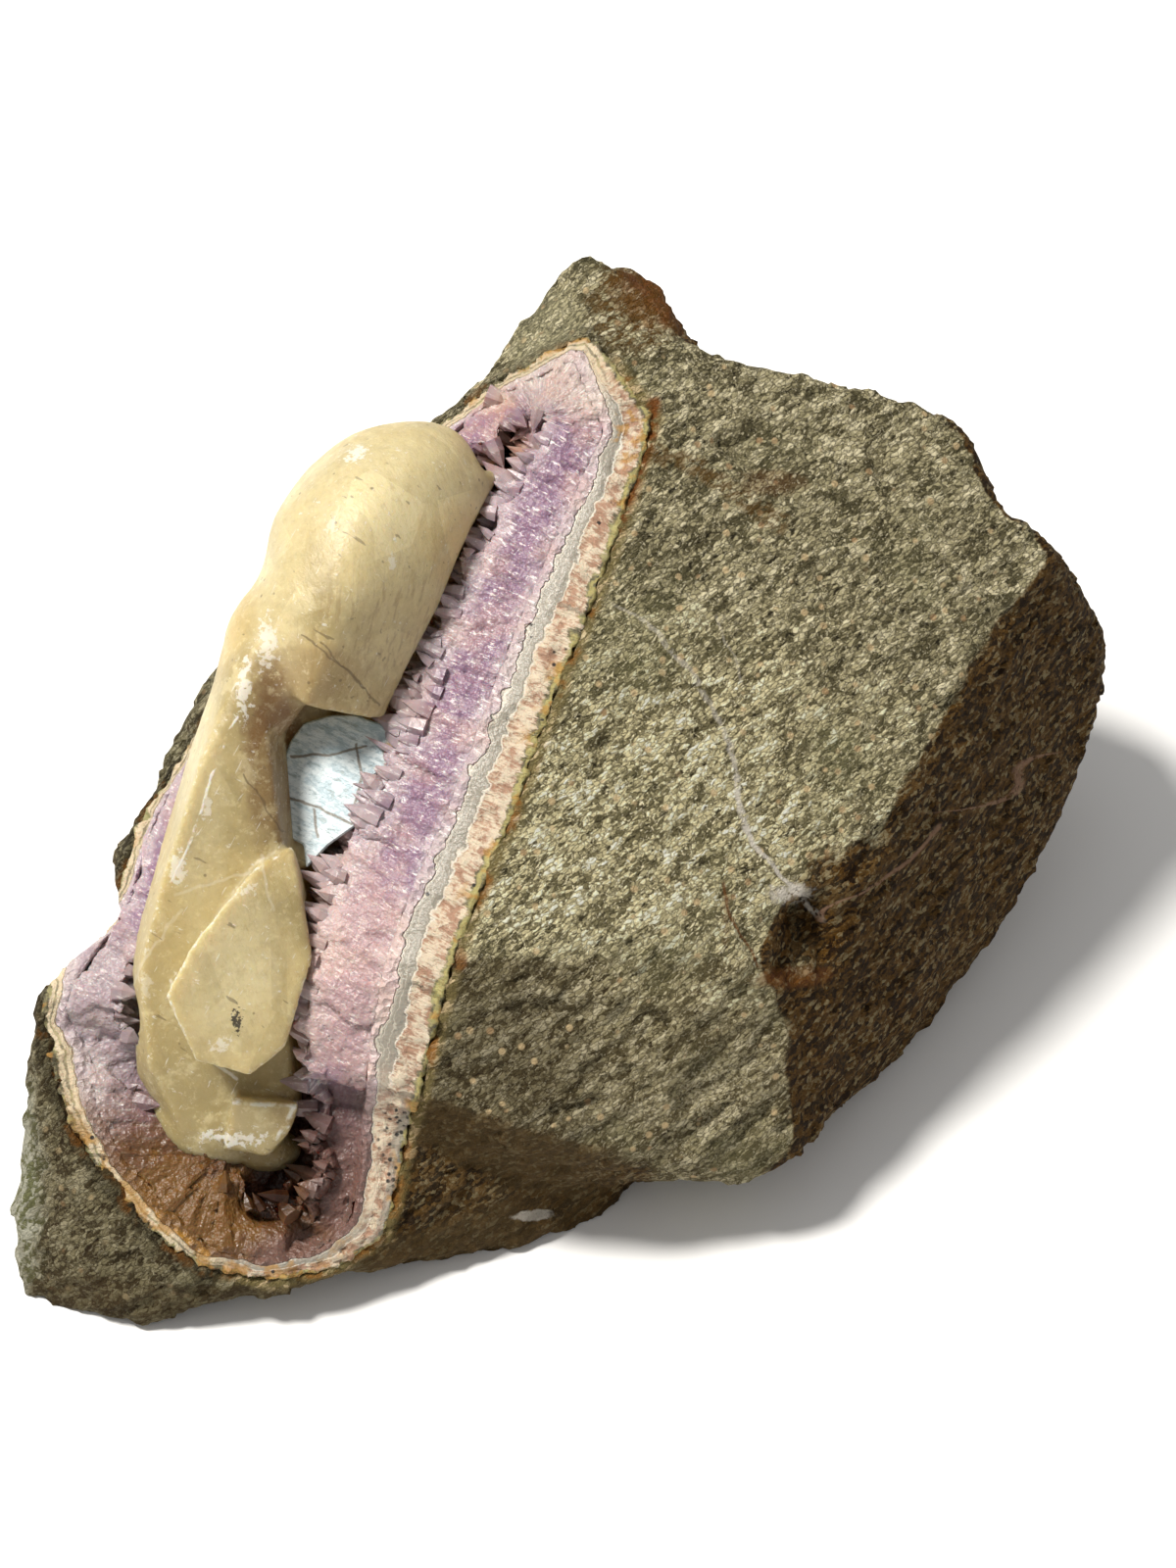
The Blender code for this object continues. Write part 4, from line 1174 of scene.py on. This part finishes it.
dendrite = honey.patch((-51.8, -34.8, 26), (0.5, 1.3, 30), 3.4, 0.3, 0.5)
honey.coat(SOOT, dendrite * 0.9)
etch = honey.noise(1.0, 3.0, 0.6, honey.stretched((0, 0, 62), (0.25, 1, 1)))
relief = etch * 0.6 + mottle * 0.3 + honey.noise(0.5, 3.0) * 0.3 + bruise_and_glint * 0.5
satin = 0.3 + honey.noise(4.0, 4.0, 0.6) * 0.3 + bruise_and_glint * 0.2
honey.drive(roughness=satin, normal=honey.bump(relief, 0.4, 0.7))
dress(calcite, honey, "calcite_crystals")

# %% [markdown]
# One calcite crystal broke off and left a flat cleavage face that shines silvery blue. It is made as a
# thin plate with the outline of that break, set just on the stump, with cracks across it. Its blue and
# white colour is painted reflection, laid on as the plate's own colour. It
# shines because cleavage leaves tiny steps that all lean the same way. A saw-tooth height in the bump
# does this: the height falls towards the lamp in every step, so the whole face catches the light.

# %% The silvery cleavage face
CLEAVAGE_OUTLINE = (
    (-43, 9.2), (-38.9, 10.4), (-35.1, 10.4), (-30.9, 8.9), (-28.2, 6.8), (-29.6, 2.9), (-32.6, 1.2),
    (-32.7, -2.3), (-35.1, -6.3), (-39.2, -9.2), (-42.6, -12.7), (-43, -9.2), (-46, -7.8), (-46.4, -2.7),
    (-46.3, 2.9), (-45, 6.5),
)
CLEAVAGE_OUT = 7.2
CLEAVAGE_THICK = 3.4
STEP_WIDTH = 1.1
STEP_LEAN = 0.36
PLATE_BEVEL = 0.25 * MM


def cleavage_plate():
    """The outline as a face, extruded to a plate and bevelled."""
    bm = bmesh.new()
    low = CLEAVAGE_OUT - CLEAVAGE_THICK
    foot = bm.faces.new([bm.verts.new(on_face(across, up, low)) for across, up in CLEAVAGE_OUTLINE])
    lifted = bmesh.ops.extrude_face_region(bm, geom=[foot])
    tops = [item for item in lifted["geom"] if isinstance(item, bmesh.types.BMVert)]
    bmesh.ops.translate(bm, verts=tops, vec=on_face(0, 0, CLEAVAGE_THICK) - on_face(0, 0, 0))
    bmesh.ops.recalc_face_normals(bm, faces=bm.faces)
    bmesh.ops.bevel(
        bm, geom=bm.edges[:], offset=PLATE_BEVEL, offset_type="OFFSET", segments=1, profile=0.5,
        affect="EDGES", material=-1, clamp_overlap=True,
    )
    return linked("cleavage_face", mesh_of(bm, "cleavage_face"))


# Colours of the painted reflection on the cleavage face.
REFLECTION_BLUE = (0.39, 0.50, 0.545)
REFLECTION_WHITE = (0.66, 0.745, 0.765)
REFLECTION_DIM = (0.28, 0.33, 0.32)
CRACK_BROWN = (0.13, 0.09, 0.045)
PLATE_CRACKS = (
    ((-34.6, 6.5), (-33.8, 1.5), (-35.2, -4.5)), ((-45.5, -1.5), (-40, -3.2), (-35.4, -5.5)),
    ((-44.5, 4.6), (-38, 5.0), (-33, 6.2)), ((-41, -3.4), (-40.4, -7.5)),
)
plate = cleavage_plate()
silver = Finish("cleavage_painted_reflection", roughness=0.35, ior=1.6)
grain = silver.noise(0.9, 4.0, 0.7, silver.stretched((0, 0, 25), (0.35, 1, 1)))
sheen = silver.noise(3.0, 4.0, 0.6)
# Painted reflection: the face's blue and white, mixed by a painted sheen and streaks.
silver.colour = silver.mix(REFLECTION_BLUE, REFLECTION_WHITE, silver.rise(sheen * 0.4 + grain * 0.6, 0.44, 0.56))
silver.coat(REFLECTION_DIM, silver.rise(grain, 0.44, 0.36) * 0.7)
for course_line in PLATE_CRACKS:
    silver.coat(CRACK_BROWN, silver.stroke(course_line, 0.3, 0.9) * 0.8)
silver.coat(OCHRE, silver.patch((-28.5, 4.5, 6), (2.2, 3, 5), 0.6, 0.5, 1.5) * 0.8)
silver.coat(OCHRE, silver.patch((-33, -5, 6), (1.6, 4, 5), 0.7, 0.5, 1.5) * 0.5)
down_light = silver.across * 0.55 - silver.up * 0.83 + grain * 1.2
steps = silver.maths("WRAP", down_light, STEP_WIDTH, 0.0)
silver.drive(roughness=0.25 + sheen * 0.3, normal=silver.bump(steps * STEP_LEAN, 1.0, 1.0))
dress(plate, silver, "calcite_crystals", smooth=False)
